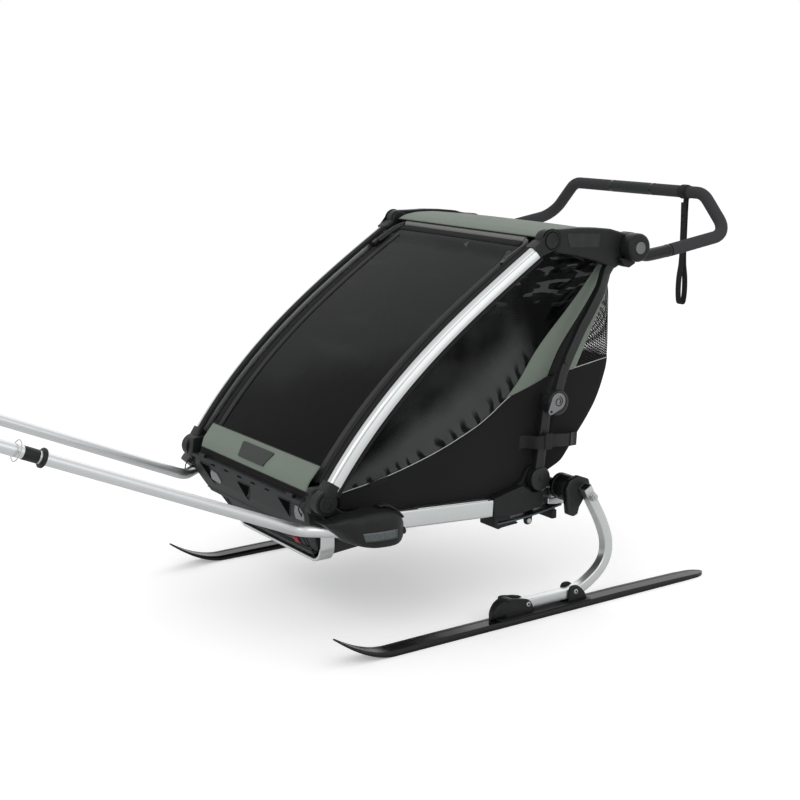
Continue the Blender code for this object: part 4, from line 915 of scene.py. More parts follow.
def build_roof():
    """One crowned sage sheet between the housings, its black hems and its rear edge.

    Its side line runs through fixed points in the side view. The crown adds 0.0055 (1 - |u|^2.4) to it, and the
    slack takes 0.0012 sin(pi v) cos(3.1 u) away.
    """
    u, v = np.meshgrid(np.linspace(-1, 1, 61), np.linspace(0, 1, 40), indexing="xy")
    front, depth = 0.637, 0.253
    y = front + depth * v
    side = np.interp(y, (front, 0.649, 0.665, 0.7, 0.76, 0.83, 0.89),
                     (0.9262, 0.9318, 0.9366, 0.9395, 0.9385, 0.931, 0.92))
    half = np.interp(y, (front, 0.68, 0.72), (0.301, 0.304, 0.3145))
    crown = 0.0055 * (1 - np.abs(u) ** 2.4) * np.clip(v * 3.0, 0, 1) ** 1.4
    slack = 0.0012 * np.sin(math.pi * v) * np.cos(u * 3.1)
    sheet = np.stack((half * u, y, side + crown - slack), axis=-1)
    item = cloth(sheet, "roof_sheet", "top_frame", "sage", 0.002, 1, True, "sage_fabric", ["roof_canopy"])
    hem = Form().tube(sheet[0] + (0, -0.0006, -0.0006), 0.0016, 10, across=(0, 0.3, 1))
    hem.tube(sheet[-1] + (0, 0.0006, -0.0006), 0.0024, 10, across=(0, 0.3, 1))
    put(hem, "roof_hems", "top_frame", "border")
    rear = sheet[-1] + (0, 0.0005, 0)
    drop = rear - np.array((0, 0.004, 0.026)) * (1 - 0.3 * u[0][:, None] ** 2)
    cloth(between(rear, drop, 5, (0, 0.002, 0)), "roof_rear_flap", "top_frame", "sage", 0.0018, slot="sage_fabric")


def build_posts():
    """The rear posts with their middle rib, the round fold joints, studs and drop-shaped levers."""
    line = smooth_line([
        (0.33, 0.868, 0.864), (0.333, 0.842, 0.837), (0.336, 0.833, 0.8275), (0.345, 0.819, 0.8105),
        (0.3565, 0.795, 0.78), (0.361, 0.76, 0.733), (0.361, 0.7365, 0.6997), (0.361, 0.7165, 0.6655),
        (0.361, 0.697, 0.632), (0.361, 0.678, 0.595), (0.361, 0.666, 0.558), (0.361, 0.66, 0.54),
    ], 70)
    rib = np.array([(0.0102, -0.0016), (0.0102, 0.0016), (0.008, 0.0034), (0.008, -0.0034)])
    for side, sign in SIDES:
        form = Form(sign).rod(line, square_tube(0.0095, 0.0125, 0.0034)).rod(line[3:-4], rib)
        form.turn([(0.348, 0.03), (0.3492, 0.0325), (0.374, 0.0325), (0.3775, 0.0308), (0.379, 0.028),
                   (0.379, 0.0215), (0.3782, 0.0205), (0.3782, 0.004)], FOLD, 64)
        form.turn([(0.366, 0.0075), (0.3752, 0.0075), (0.3755, 0.0066), (0.3755, 0.003)], (0.681, 0.6235), 28)
        put(form, "rear_post_" + side + "_bar", "top_frame", "tube", ["rear_post_" + side], 28)
        lever = Form(sign)
        middle, tail = np.array((0.649, 0.526)), np.array((0.626, 0.503))
        drop = even(np.vstack((
            circle(middle, 0.0218, 40, 285, 240),
            circle(tail, 0.0085, 16, 150, 150),
        )), 90, closed=True)
        lever.plate(drop, 0.3795, 0.3845, round_inner=0.0006, round_outer=0.0014)
        spiral = np.linspace(0, 1, 60)
        radius, angle = 0.0052 + 0.0078 * spiral, math.radians(-60) + spiral * math.radians(500)
        curl = middle + radius[:, None] * np.stack((np.cos(angle), np.sin(angle)), axis=1)
        lever.rod(side_points(curl, 0.3846), square_tube(0.0009, 0.0011, 0.0004, 3), 1)
        lever.turn([(0.384, 0.0036), (0.3849, 0.0036), (0.3849, 0.0028)], tail, 20, 1)
        put(lever, "fold_lever_" + side + "_drop", "fold_lever_" + side, ["lever", "black_gloss"],
            ["fold_lever_" + side])


def build_struts():
    """The lower rear struts with their long rib, and the round bosses with their screws."""
    for side, sign in SIDES:
        low, high = REAR + (FOLD - REAR) * 0.1, REAR + (FOLD - REAR) * 0.985
        path = side_points(np.linspace(low, high, 24), STRUT_X) - (0, 0.0035, 0)
        form = Form(sign).rod(path, square_tube(0.0108, 0.0138, 0.0034, 5))
        rib = np.array([(0.0114, -0.0012), (0.0114, 0.0012), (0.0095, 0.0024), (0.0095, -0.0024)])
        form.rod(path[2:-2] + (0, 0.003, 0), rib)
        form.turn([(0.3225, 0.0165), (0.344, 0.0175), (0.344, 0.01)], FOLD, 40)
        form.turn([(0.3222, 0.0285), (0.3235, 0.03), (0.3465, 0.03), (0.3484, 0.0286), (0.349, 0.0262),
                   (0.349, 0.01)], REAR, 56)
        bolt(form, REAR, 0.3488, 0.0068, 0.0022, 1)
        put(form, "rear_strut_" + side + "_bar", "lower_frame", ["tube", "black_gloss"],
            ["rear_strut_" + side], 28)


# The push handle


def handle_line():
    """Centre line of the push handle's bar, from the right sleeve to the left one."""
    half = [(0.3526, 1.0405, 0.874), (0.3575, 1.245, 0.905), (0.262, *BAR)]
    return even(bent([*half, *[(-x, y, z) for x, y, z in half[::-1]]], 0.055, 16), 260)


def build_handle():
    """The foam-covered bar with its middle wrap, seams, strap band, hubs, sleeves and push buttons."""
    line, ref = handle_line(), (0, 0.5, -0.87)
    grip_radius, wrap_radius, seam_radius, band_radius = 0.0165, 0.0168, 0.017, 0.0176
    bar = Form().tube(line, grip_radius, 32, across=ref)
    run, high = line[:, 0], line[:, 2] > 0.995
    wrap = line[high & (run > -0.099) & (run < 0.078)]
    bar.tube(wrap, wrap_radius, 32, 1, ref)
    for ring in (wrap[:3], wrap[-3:]):
        bar.tube(ring, seam_radius, 32, 2, ref)
    put(bar, "handle_bar", "handlebar", ["foam", "wrap", "black_gloss"], ["handlebar"])
    band = line[high & (run > 0.176) & (run < 0.214)]
    put(Form().tube(band, band_radius, 32, across=ref), "strap_band", "handlebar", "webbing")
    for side, sign in SIDES:
        hub = Form(sign)
        hub.turn([(0.3376, 0.0345), (0.3385, 0.0358), (0.34, 0.0362), (0.3745, 0.0362), (0.379, 0.0345),
                  (0.3818, 0.0312), (0.3826, 0.027), (0.3826, 0.0178), (0.3818, 0.0168), (0.3718, 0.0166),
                  (0.3718, 0.004)], HANDLE, 72)
        hub.turn([(0.342, 0.0366), (0.3424, 0.037), (0.3436, 0.037), (0.344, 0.0366)], HANDLE, 72, 1)
        sleeve = smooth_line([(0.356, 0.925, 0.874), (0.355, 0.952, 0.8668), (0.3535, 0.985, 0.868),
                              (0.3525, 1.036, 0.8735)], 40)
        hub.tube(sleeve, 0.016, 32)
        hub.tube(sleeve[-4:-1], 0.0166, 32, 1)
        put(hub, "hub_" + side, "handlebar", ["moulding", "black_gloss"],
            ["handle_hub_" + side], 30)
        button = Form(sign).turn([(0.3771, 0.0158), (0.3836, 0.0158), (0.3847, 0.0146), (0.3849, 0.0126),
                                  (0.3842, 0.0112), (0.3836, 0.0078), (0.3834, 0.002)], HANDLE, 48)
        put(button, "push_button_" + side, "hub_button_" + side, "button",
            ["hub_button_" + side])


def build_wrist_strap():
    """The webbing strap: looped over the bar, sewn together under it, and open at its foot."""
    x, middle = 0.194, BAR[0]
    top = circle(BAR, 0.0186, 22, -75, 330)
    neck = np.array([(middle + 0.004, 0.9765), (middle + 0.0032, 0.925), (middle + 0.003, 0.868)])
    rear = [(0.0032, 0.835), (0.005, 0.806), (0.011, 0.77), (0.012, 0.73), (0.008, 0.702)]
    foot = smooth_line([(middle + y, z) for y, z in (*rear, (0, 0.696), *((-y, z) for y, z in rear[::-1]))], 60)
    path = np.vstack((top[::-1], neck, foot, neck[::-1] * (-1, 1) + (2 * middle, 0)))
    form = Form().rod(side_points(even(path, 150), x), rounded_box(0.0098, 0.0011, 6, 12))
    stitch = Form().rod(side_points([(middle, 0.956), (middle, 0.936)], x), rounded_box(0.0102, 0.0046, 6, 16))
    put(form, "wrist_loop", "wrist_strap", "webbing", ["wrist_strap"])
    put(stitch, "wrist_loop_tack", "wrist_strap", "border")


# The chassis


def build_rails():
    """Silver rails, and the bumper strip bent into a U."""
    for side, sign in SIDES:
        path = side_points(np.linspace((0.048, 0.2945), (0.484, 0.2665), 6), RAIL_X)
        form = Form(sign).rod(path, square_tube(0.011, 0.022, 0.005, 6))
        slot = np.linspace((0.26, 0.281 + 0.0212), (0.47, 0.2675 + 0.0212), 4)
        form.rod(side_points(slot, RAIL_X), square_tube(0.008, 0.0022, 0.0008, 3))
        put(form, "rail_" + side, "chassis", "aluminium", ["side_rail_" + side])
    y, half, low = 0.082, 0.2065, 0.1685
    line = even(bent([(half, 0.3), (half, low), (-half, low), (-half, 0.3)], 0.0365, 16), 160)
    strip = Form().rod(level(line[:, 0], y, line[:, 1]), square_tube(0.02, 0.0035, 0.0014), across=(0, 1, 0))
    put(strip, "bumper_strip", "chassis", "aluminium_along", ["front_bumper"])


def build_corners():
    """The front corner castings: the disc with its curved key, the throat to the wing, and the collar."""
    for side, sign in SIDES:
        form = Form(sign)
        outline = loop([
            (-0.02, 0.39), (0.028, 0.39), (0.033, 0.346), (0.062, 0.324), (0.112, 0.318), (0.118, 0.28),
            (0.106, 0.269), (0.026, 0.268), (0.014, 0.279), (0.012, 0.318), (-0.028, 0.335),
        ], 0.0075, 8, 150)
        form.plate(outline, 0.289, 0.3145, round_inner=0.002, round_outer=0.004)
        form.turn([(0.312, 0.0074), (0.3438, 0.0074), (0.3441, 0.0205), (0.345, 0.0216), (0.3478, 0.0216),
                   (0.349, 0.0204), (0.349, 0.0172), (0.3482, 0.0164), (0.3482, 0.003)], FRONT, 60)
        key = circle(FRONT, 0.0098, 26, -60, 265)
        form.rod(side_points(key, 0.3484), square_tube(0.0012, 0.0014, 0.0004, 3), 1, across=(1, 0, 0))
        form.tube(side_points([FRONT + (0.004, -0.009), FRONT + (0.012, -0.017)], 0.3484), 0.0011, 10, 1)
        put(form, "corner_" + side, "chassis", ["moulding", "black_gloss"],
            ["front_corner_" + side], 30)


def wing_grid():
    """The hitch wing lofted from nose to tail: leaning superellipses whose centre and halves run smoothly.

    A station (y, x, a, z, b, lean) gives |(X - x) / a|^4.6 + |(Z - z) / b|^4.6 = 1 at
    Y = y - lean (Z - WING_LEVEL).
    """
    stations = np.array([
        (0.008, 0.345, 0.03, 0.294, 0.026, 1.1), (0.022, 0.3615, 0.034, 0.295, 0.03, 0.85),
        (0.043, 0.376, 0.036, 0.298, 0.0365, 0.5), (0.065, 0.379, 0.039, 0.298, 0.04, 0.2),
        (0.09, 0.3815, 0.042, 0.2985, 0.0435, 0), (0.12, 0.383, 0.0435, 0.2975, 0.044, 0),
        (0.14, 0.383, 0.0425, 0.296, 0.042, 0), (0.155, 0.379, 0.0385, 0.2925, 0.0365, 0),
        (0.168, 0.373, 0.0315, 0.288, 0.029, 0), (0.178, 0.368, 0.0245, 0.2855, 0.0195, 0),
        (0.186, 0.364, 0.016, 0.284, 0.011, 0),
    ])
    line = smooth_line(stations, 90)
    y, x, a, z, b, lean = line.T[..., None]
    ring = rounded_box(1, 1, 4.6, 64)
    height = z + b * ring[:, 1]
    return np.stack((x + a * ring[:, 0], y - lean * (height - WING_LEVEL), height), axis=-1)


def build_wings():
    """The hitch wings: lofted body, parting lines, tail button, top recess, reflector and release lever."""
    grid = wing_grid()
    for side, sign in SIDES:
        form = Form(sign).solid(grid)
        for row, scale in ((22, 1.004), (60, 1.004)):
            rim = grid[row : row + 2]
            middle = rim.mean(axis=1, keepdims=True)
            form.solid(middle + (rim - middle) * scale, 1)
        button = [(0.166, 0.0085), (0.179, 0.0085), (0.1802, 0.007), (0.1802, 0.002)]
        form.turn(button, (0.393, 0.28), 28, axis=1)
        inset = np.array([(0.37, 0.136, 0.34), (0.37, 0.156, 0.329), (0.37, 0.167, 0.318)])
        form.rod(inset, square_tube(0.01, 0.003, 0.001, 3), 1)
        outer = grid[(grid[:, 0, 1] > 0.046) & (grid[:, 0, 1] < 0.142)]
        rows = []
        for z in np.linspace(0.277, 0.299, 5):
            place = []
            for row in outer:
                near = row[row[:, 0] > row[:, 0].mean()]
                near = near[np.argsort(near[:, 2])]
                place.append((np.interp(z, near[:, 2], near[:, 0]), np.interp(z, near[:, 2], near[:, 1]), z))
            rows.append(place)
        strip = np.array(rows).transpose(1, 0, 2) + (0.0009, 0, 0)
        put(form, "wing_" + side, "chassis", ["moulding", "black_gloss"],
            ["hitch_wing_" + side], 40)
        cloth(strip, "wing_reflector_" + side, "chassis", "dark_reflector", 0.0012, sign, True, "moulding")
        lever = Form(sign)
        outline = loop([
            (0.112, 0.344), (0.129, 0.3436), (0.14, 0.34), (0.155, 0.331), (0.168, 0.3192), (0.178, 0.3075),
            (0.1828, 0.3112), (0.1722, 0.3232), (0.1586, 0.3356), (0.1428, 0.3448), (0.131, 0.349), (0.113, 0.3495),
        ], 0.0016, 5, 90)
        lever.plate(outline, 0.366, 0.39, round_inner=0.0018, round_outer=0.0018)
        for x in (0.371, 0.376, 0.381):
            lever.tube(np.array([(x, 0.131, 0.3494), (x, 0.1428, 0.345), (x, 0.157, 0.337)]), 0.0009, 8, 1)
        put(lever, "wing_release_" + side, "wing_lever_" + side, ["moulding", "black_gloss"],
            ["wing_lever_" + side])


def build_poles():
    """Tow poles: silver rear and front tubes, the black stop ring, tape band, wire ring and end plug."""
    for side, sign in SIDES:
        joint = POLE_BEND + POLE_RUN * 0.665
        line = even(bent([POLE_ROOT, POLE_BEND, joint], 0.06, 20), 90)
        rear = Form(sign).tube(line, POLE_RADIUS, 36, across=(0, 0.3, 1))
        rear.about([(0.6555, 0.015), (0.6565, 0.0205), (0.658, 0.0214), (0.662, 0.0214), (0.6635, 0.02),
                    (0.6645, 0.015)], POLE_BEND, POLE_RUN, finish=1)
        rear.about([(0.66, 0.0102), (0.696, 0.0102), (0.697, 0.009)], POLE_BEND, POLE_RUN)
        put(rear, "pole_" + side + "_rear", "chassis", ["satin_silver", "moulding"],
            ["pole_rear_" + side], 30)
        front = Form(sign)
        for profile, key in (
            ([(0.6655, 0.0115), (0.6655, 0.0134), (0.6662, POLE_RADIUS), (1.586, POLE_RADIUS), (1.588, 0.0134)], 0),
            ([(0.67, 0.0143), (0.671, 0.0147), (0.704, 0.0147), (0.705, 0.0143)], 1),
            ([(1.581, 0.0142), (1.582, 0.0158), (1.598, 0.0158), (1.6, 0.014)], 1),
        ):
            front.about(profile, POLE_BEND, POLE_RUN, 36, key)
        put(front, "pole_" + side + "_front", "pole_front_" + side, ["satin_silver", "moulding"],
            ["pole_front_" + side], 30)
        cross = POLE_BEND + POLE_RUN * 0.7175
        upward = unit(np.cross((1.0, 0, 0), POLE_RUN))
        angle = angles(60)
        outward = np.cos(angle)[:, None] * np.array((1.0, 0, 0)) + np.sin(angle)[:, None] * upward
        ring = cross + 0.0225 * outward
        section = circle((0, 0), 0.0012, 10)
        grid = ring[:, None] + outward[:, None] * section[None, :, 0, None] + POLE_RUN * section[None, :, 1, None]
        wire = Form(sign).grid(grid, wrap=True, wrap_rows=True)
        wire.about([(-0.0228, 0.0019), (0.0228, 0.0019)], cross, (1, 0, 0), 16)
        put(wire, "pole_ring_" + side, "lock_ring_" + side, "steel", ["lock_ring_" + side])


def build_casting():
    """Rear castings with their socket for the rail, two small holes, the spring's clamp and the hanging lug."""
    for side, sign in SIDES:
        form = Form(sign)
        inner = even(np.vstack((
            [(0.4885, 0.288), (0.54, 0.292), (0.59, 0.318)],
            circle(REAR, 0.03, 30, 150, -190),
            [(0.66, 0.268), (0.66, 0.2395), (0.53, 0.2345), (0.4885, 0.24)],
        )), 150, closed=True)
        form.plate(inner, 0.3, 0.3205, round_inner=0.0015, round_outer=0.002)
        outer = loop([
            (0.487, 0.242), (0.487, 0.2895), (0.523, 0.2985), (0.58, 0.3105), (0.6, 0.2995), (0.613, 0.289),
            (0.647, 0.286), (0.647, 0.248), (0.581, 0.239), (0.53, 0.237),
        ], 0.005, 7, 150)
        form.plate(outer, 0.315, 0.3375, round_inner=0.001, round_outer=0.0035, steps=6)
        clamp = loop([
            (0.4935, 0.214), (0.505, 0.2085), (0.515, 0.211), (0.566, 0.214), (0.5665, 0.2185),
            (0.504, 0.219), (0.504, 0.229), (0.542, 0.229), (0.544, 0.257), (0.4935, 0.257),
        ], 0.0012, 4, 150)
        form.plate(clamp, 0.273, 0.334, round_inner=0.001, round_outer=0.0012)
        lug = loop([(0.611, 0.252), (0.616, 0.1925), (0.638, 0.1925), (0.642, 0.252)], 0.01, 8, 70)
        form.plate(lug, 0.296, 0.303, round_inner=0.001, round_outer=0.001)
        for y, z in ((0.576, 0.296), (0.632, 0.264)):
            form.turn([(0.335, 0.0042), (0.33755, 0.0042), (0.33765, 0.003)], (y, z), 20, 1)
        form.turn([(0.302, 0.007), (0.306, 0.007), (0.3068, 0.0058), (0.3068, 0.002)], (0.627, 0.203), 24, 2)
        form.turn([(0.316, 0.0083), (0.3478, 0.0083), (0.3478, 0.006)], REAR, 30)
        form.turn([(0.268, 0.0074), (0.305, 0.0074), (0.305, 0.005)], SPRING_PIN, 24)
        put(form, "casting_" + side, "chassis", ["moulding", "black_gloss", "steel"],
            ["rear_casting_" + side], 30)
        leaf = smooth_line([(0.502, 0.2222), (0.55, 0.223), (0.62, 0.228), (0.69, 0.237), (0.71, 0.24)], 30)
        form = Form(sign).rod(side_points(leaf, 0.319), square_tube(0.0152, 0.0025, 0.001, 3))
        put(form, "leaf_" + side, "chassis", "dark_steel", ["leaf_spring_" + side])


# The running gear


def build_axle():
    """The axle: tube, drums with their caps, leg brackets, arms, spring feet and stop blocks."""
    tube = Form().turn([(-0.334, 0.0125), (0.334, 0.0125)], AXLE, 32)
    put(tube, "axle_tube", "running_gear", "tube")
    for side, sign in SIDES:
        form = Form(sign)
        form.turn([(0.329, 0.0265), (0.33, 0.031), (0.3325, 0.0338), (0.342, 0.034), (0.343, 0.033),
                   (0.346, 0.033), (0.347, 0.034), (0.379, 0.034), (0.382, 0.0326), (0.3838, 0.029),
                   (0.3838, 0.01)], AXLE, 64, 1)
        outline = loop([
            (0.668, 0.3), (0.681, 0.322), (0.711, 0.33), (0.742, 0.318), (0.748, 0.3), (0.728, 0.268),
            (0.713, 0.248), (0.708, 0.23), (0.694, 0.226), (0.676, 0.234), (0.672, 0.262),
        ], 0.0065, 7, 150)
        form.plate(outline, 0.3835, 0.4, 1, round_inner=0.002, round_outer=0.0035)
        inset = loop([
            (0.679, 0.3), (0.688, 0.313), (0.711, 0.319), (0.733, 0.31), (0.737, 0.3), (0.72, 0.274),
            (0.704, 0.25), (0.685, 0.25), (0.682, 0.27),
        ], 0.006, 6, 110)
        form.plate(inset, 0.398, 0.4006, round_inner=0.0005, round_outer=0.0012)
        arm = even(np.vstack((circle(SPRING_PIN, 0.015, 30, 115, 210),
                              [(0.695, 0.276), (0.708, 0.286), (0.704, 0.303), (0.69, 0.301)])), 90, closed=True)
        form.plate(arm, 0.2702, 0.2918, 2)
        form.turn([(0.268, 0.009), (0.269, 0.01), (0.293, 0.01), (0.294, 0.009)], SPRING_PIN, 30)
        foot = [(0.664, 0.248), (0.664, 0.264), (0.718, 0.261), (0.734, 0.25), (0.73, 0.243), (0.69, 0.243)]
        form.plate(loop(foot, 0.003, 5, 80), 0.295, 0.3345, 2)
        for corners, radius, low, high, key in (
            ([(0.672, 0.228), (0.754, 0.23), (0.754, 0.25), (0.672, 0.248)], 0.003, 0.286, 0.304, 2),
            ([(0.693, 0.206), (0.719, 0.206), (0.719, 0.276), (0.693, 0.276)], 0.003, 0.2725, 0.2985, 0),
            ([(0.684, 0.2035), (0.7, 0.2035), (0.7, 0.2265), (0.684, 0.2265)], 0.002, 0.2745, 0.327, 0),
        ):
            block = bent(corners, radius, 5, closed=True)
            form.plate(block, low, high, key, round_inner=0.0015, round_outer=0.0015)
        put(form, "axle_end_" + side, "running_gear", ["moulding", "black_gloss", "satin_silver"],
            ["axle_beam"] if side == "right" else (), 30)


def build_legs():
    """Square silver legs that curve down and forward, their hollow tops, and the nuts through them."""
    knots = [
        (0.7165, 0.3045), (0.744, 0.256), (0.766, 0.2175), (0.781, 0.185), (0.79, 0.1585), (0.7925, 0.13),
        (0.787, 0.106), (0.772, 0.0835), (0.747, 0.0635), (0.712, 0.0445), (0.675, 0.0355), (0.64, 0.0345),
        (0.456, 0.0345),
    ]
    line = smooth_line(knots, 130)
    for side, sign in SIDES:
        form = Form(sign).rod(side_points(line, LEG_X), square_tube(0.013, 0.013, 0.0036, 6))
        outward = unit(line[0] - line[1])
        mouth = side_points([line[0] + outward * 0.0004, line[0] - outward * 0.002], LEG_X)
        form.rod(mouth, square_tube(0.0098, 0.0098, 0.0022, 5), 1)
        nut = (0.729, 0.28)
        for low, high, radius in ((0.4266, 0.4292, 0.0128), (0.4292, 0.435, 0.0108), (0.4354, 0.4402, 0.0098)):
            rim = [(low, radius * 0.94), (low + 0.0006, radius), (high - 0.0006, radius), (high, radius * 0.92)]
            form.turn(rim, nut, 40 if radius > 0.01 else 6, 2)
        form.turn([(0.4396, 0.0045), (0.443, 0.0045), (0.4438, 0.0036)], nut, 24, 2)
        put(form, "leg_" + side, "running_gear", ["aluminium_along", "black_gloss", "steel"],
            ["ski_leg_" + side], 30)


def build_skis():
    """Skis lofted from turned-up tip to pointed tail: top sheet with a shallow groove, and side walls.

    The sole rises to the tip as 0.0655 (1 - s / 0.152)^1.75, and every section stands square to that line.
    """
    fine = np.linspace(0, 1.17, 170)
    half = 0.0255 * np.interp(fine, (0, 0.012, 0.03, 0.058, 0.092, 0.13, 1.09, 1.135, 1.155, 1.17),
                              (0.12, 0.55, 0.78, 0.92, 0.98, 1, 1, 0.94, 0.7, 0.18))
    deep = np.interp(fine, (0, 0.015, 0.058, 0.128, 0.15, 0.3, 0.86, 1.08, 1.13, 1.17),
                     (0.004, 0.005, 0.0075, 0.012, 0.013, 0.014, 0.014, 0.0105, 0.0085, 0.006))
    low = np.where(fine < 0.16, 0.0655 * np.clip(1 - fine / 0.152, 0, 1) ** 1.75, 0.0)
    y = -0.036 + fine
    slope = np.gradient(low, y)
    run = np.sqrt(1 + slope**2)
    edge = [(1.0, 0.0), (1.0, 0.55), (0.93, 0.78), (0.8, 1.0), (0.5, 1.0), (0.46, 0.93)]
    profile = [(-1.0, 0.0), *edge, *((-a, b) for a, b in edge[:0:-1])]
    grid = np.stack([np.column_stack((SKI_X + a * half, y - b * deep * slope / run, low + b * deep / run))
                     for a, b in profile], axis=1)
    for side, sign in SIDES:
        blade = Form(sign).solid(grid)
        put(blade, "ski_blade_" + side, "running_gear", "ski", ["ski_" + side], 25)


def build_bindings():
    """The moulded toe caps and rear clamps with their bolts, and the thin plates under the legs.

    A cap's hood is a superellipse ring at each station, from the plate up to the toe's outline.
    """
    low = BINDING_FOOT
    toe = even(smooth_line([
        (0.42, 0.0151), (0.4205, 0.029), (0.427, 0.04), (0.44, 0.053), (0.463, 0.062), (0.488, 0.059),
        (0.513, 0.054), (0.529, 0.047), (0.54, 0.03), (0.541, 0.0151)], 120), 120)
    clamp = even(smooth_line([
        (0.656, 0.0151), (0.657, 0.038), (0.659, 0.05), (0.664, 0.0555), (0.674, 0.057), (0.688, 0.053),
        (0.707, 0.035), (0.717, 0.0151)], 110), 110)
    for side, sign in SIDES:
        form = Form(sign)
        plate = bent([(0.399, 0.43), (0.446, 0.43), (0.446, 0.722), (0.399, 0.722)], 0.008, 8, closed=True)
        form.solid(np.stack([level(*plate.T, z) for z in (low, 0.017)]))
        cheek = np.vstack(([(0.456, low)], toe[toe[:, 0] > 0.456]))
        for outline, centre in ((cheek, (0.523, 0.039)), (clamp, (0.677, 0.041))):
            for way in (-1, 1):
                faces = sorted((LEG_X + way * 0.0134, LEG_X + way * 0.02))
                inner, outer = (0.0008, 0.0026)[::way]
                form.plate(even(outline, 130, closed=True), *faces, round_inner=inner, round_outer=outer)
            bolt(form, centre, LEG_X + 0.0198, 0.0062, 0.0026, 2)
        run = np.linspace(0.419, 0.492, 24)
        crest = np.interp(run, toe[:, 0], toe[:, 1]) - 0.0006 - 0.006 * np.clip((run - 0.47) / 0.022, 0, 1) ** 2
        broad = np.interp(run, (0.419, 0.421, 0.428, 0.44, 0.46, 0.492),
                          (0.004, 0.008, 0.013, 0.0178, 0.0206, 0.0206))
        angle = angles(28, 0.5)
        hood = np.zeros((24, 28, 3))
        hood[..., 0] = LEG_X + broad[:, None] * signed_power(np.cos(angle), 0.5)
        hood[..., 1] = run[:, None]
        hood[..., 2] = low + (crest[:, None] - low) * (0.5 + 0.5 * signed_power(np.sin(angle), 0.6))
        form.solid(hood)
        seam = toe[(toe[:, 0] > 0.43) & (toe[:, 0] < 0.53) & (toe[:, 1] > 0.044)] + (0, -0.0045)
        form.tube(side_points(seam, LEG_X + 0.0204), 0.0008, 8)
        put(form, "binding_" + side, "running_gear", ["moulding", "black_gloss", "steel"],
            ["ski_binding_" + side], 30)


# The footwell and the cabin's cloth


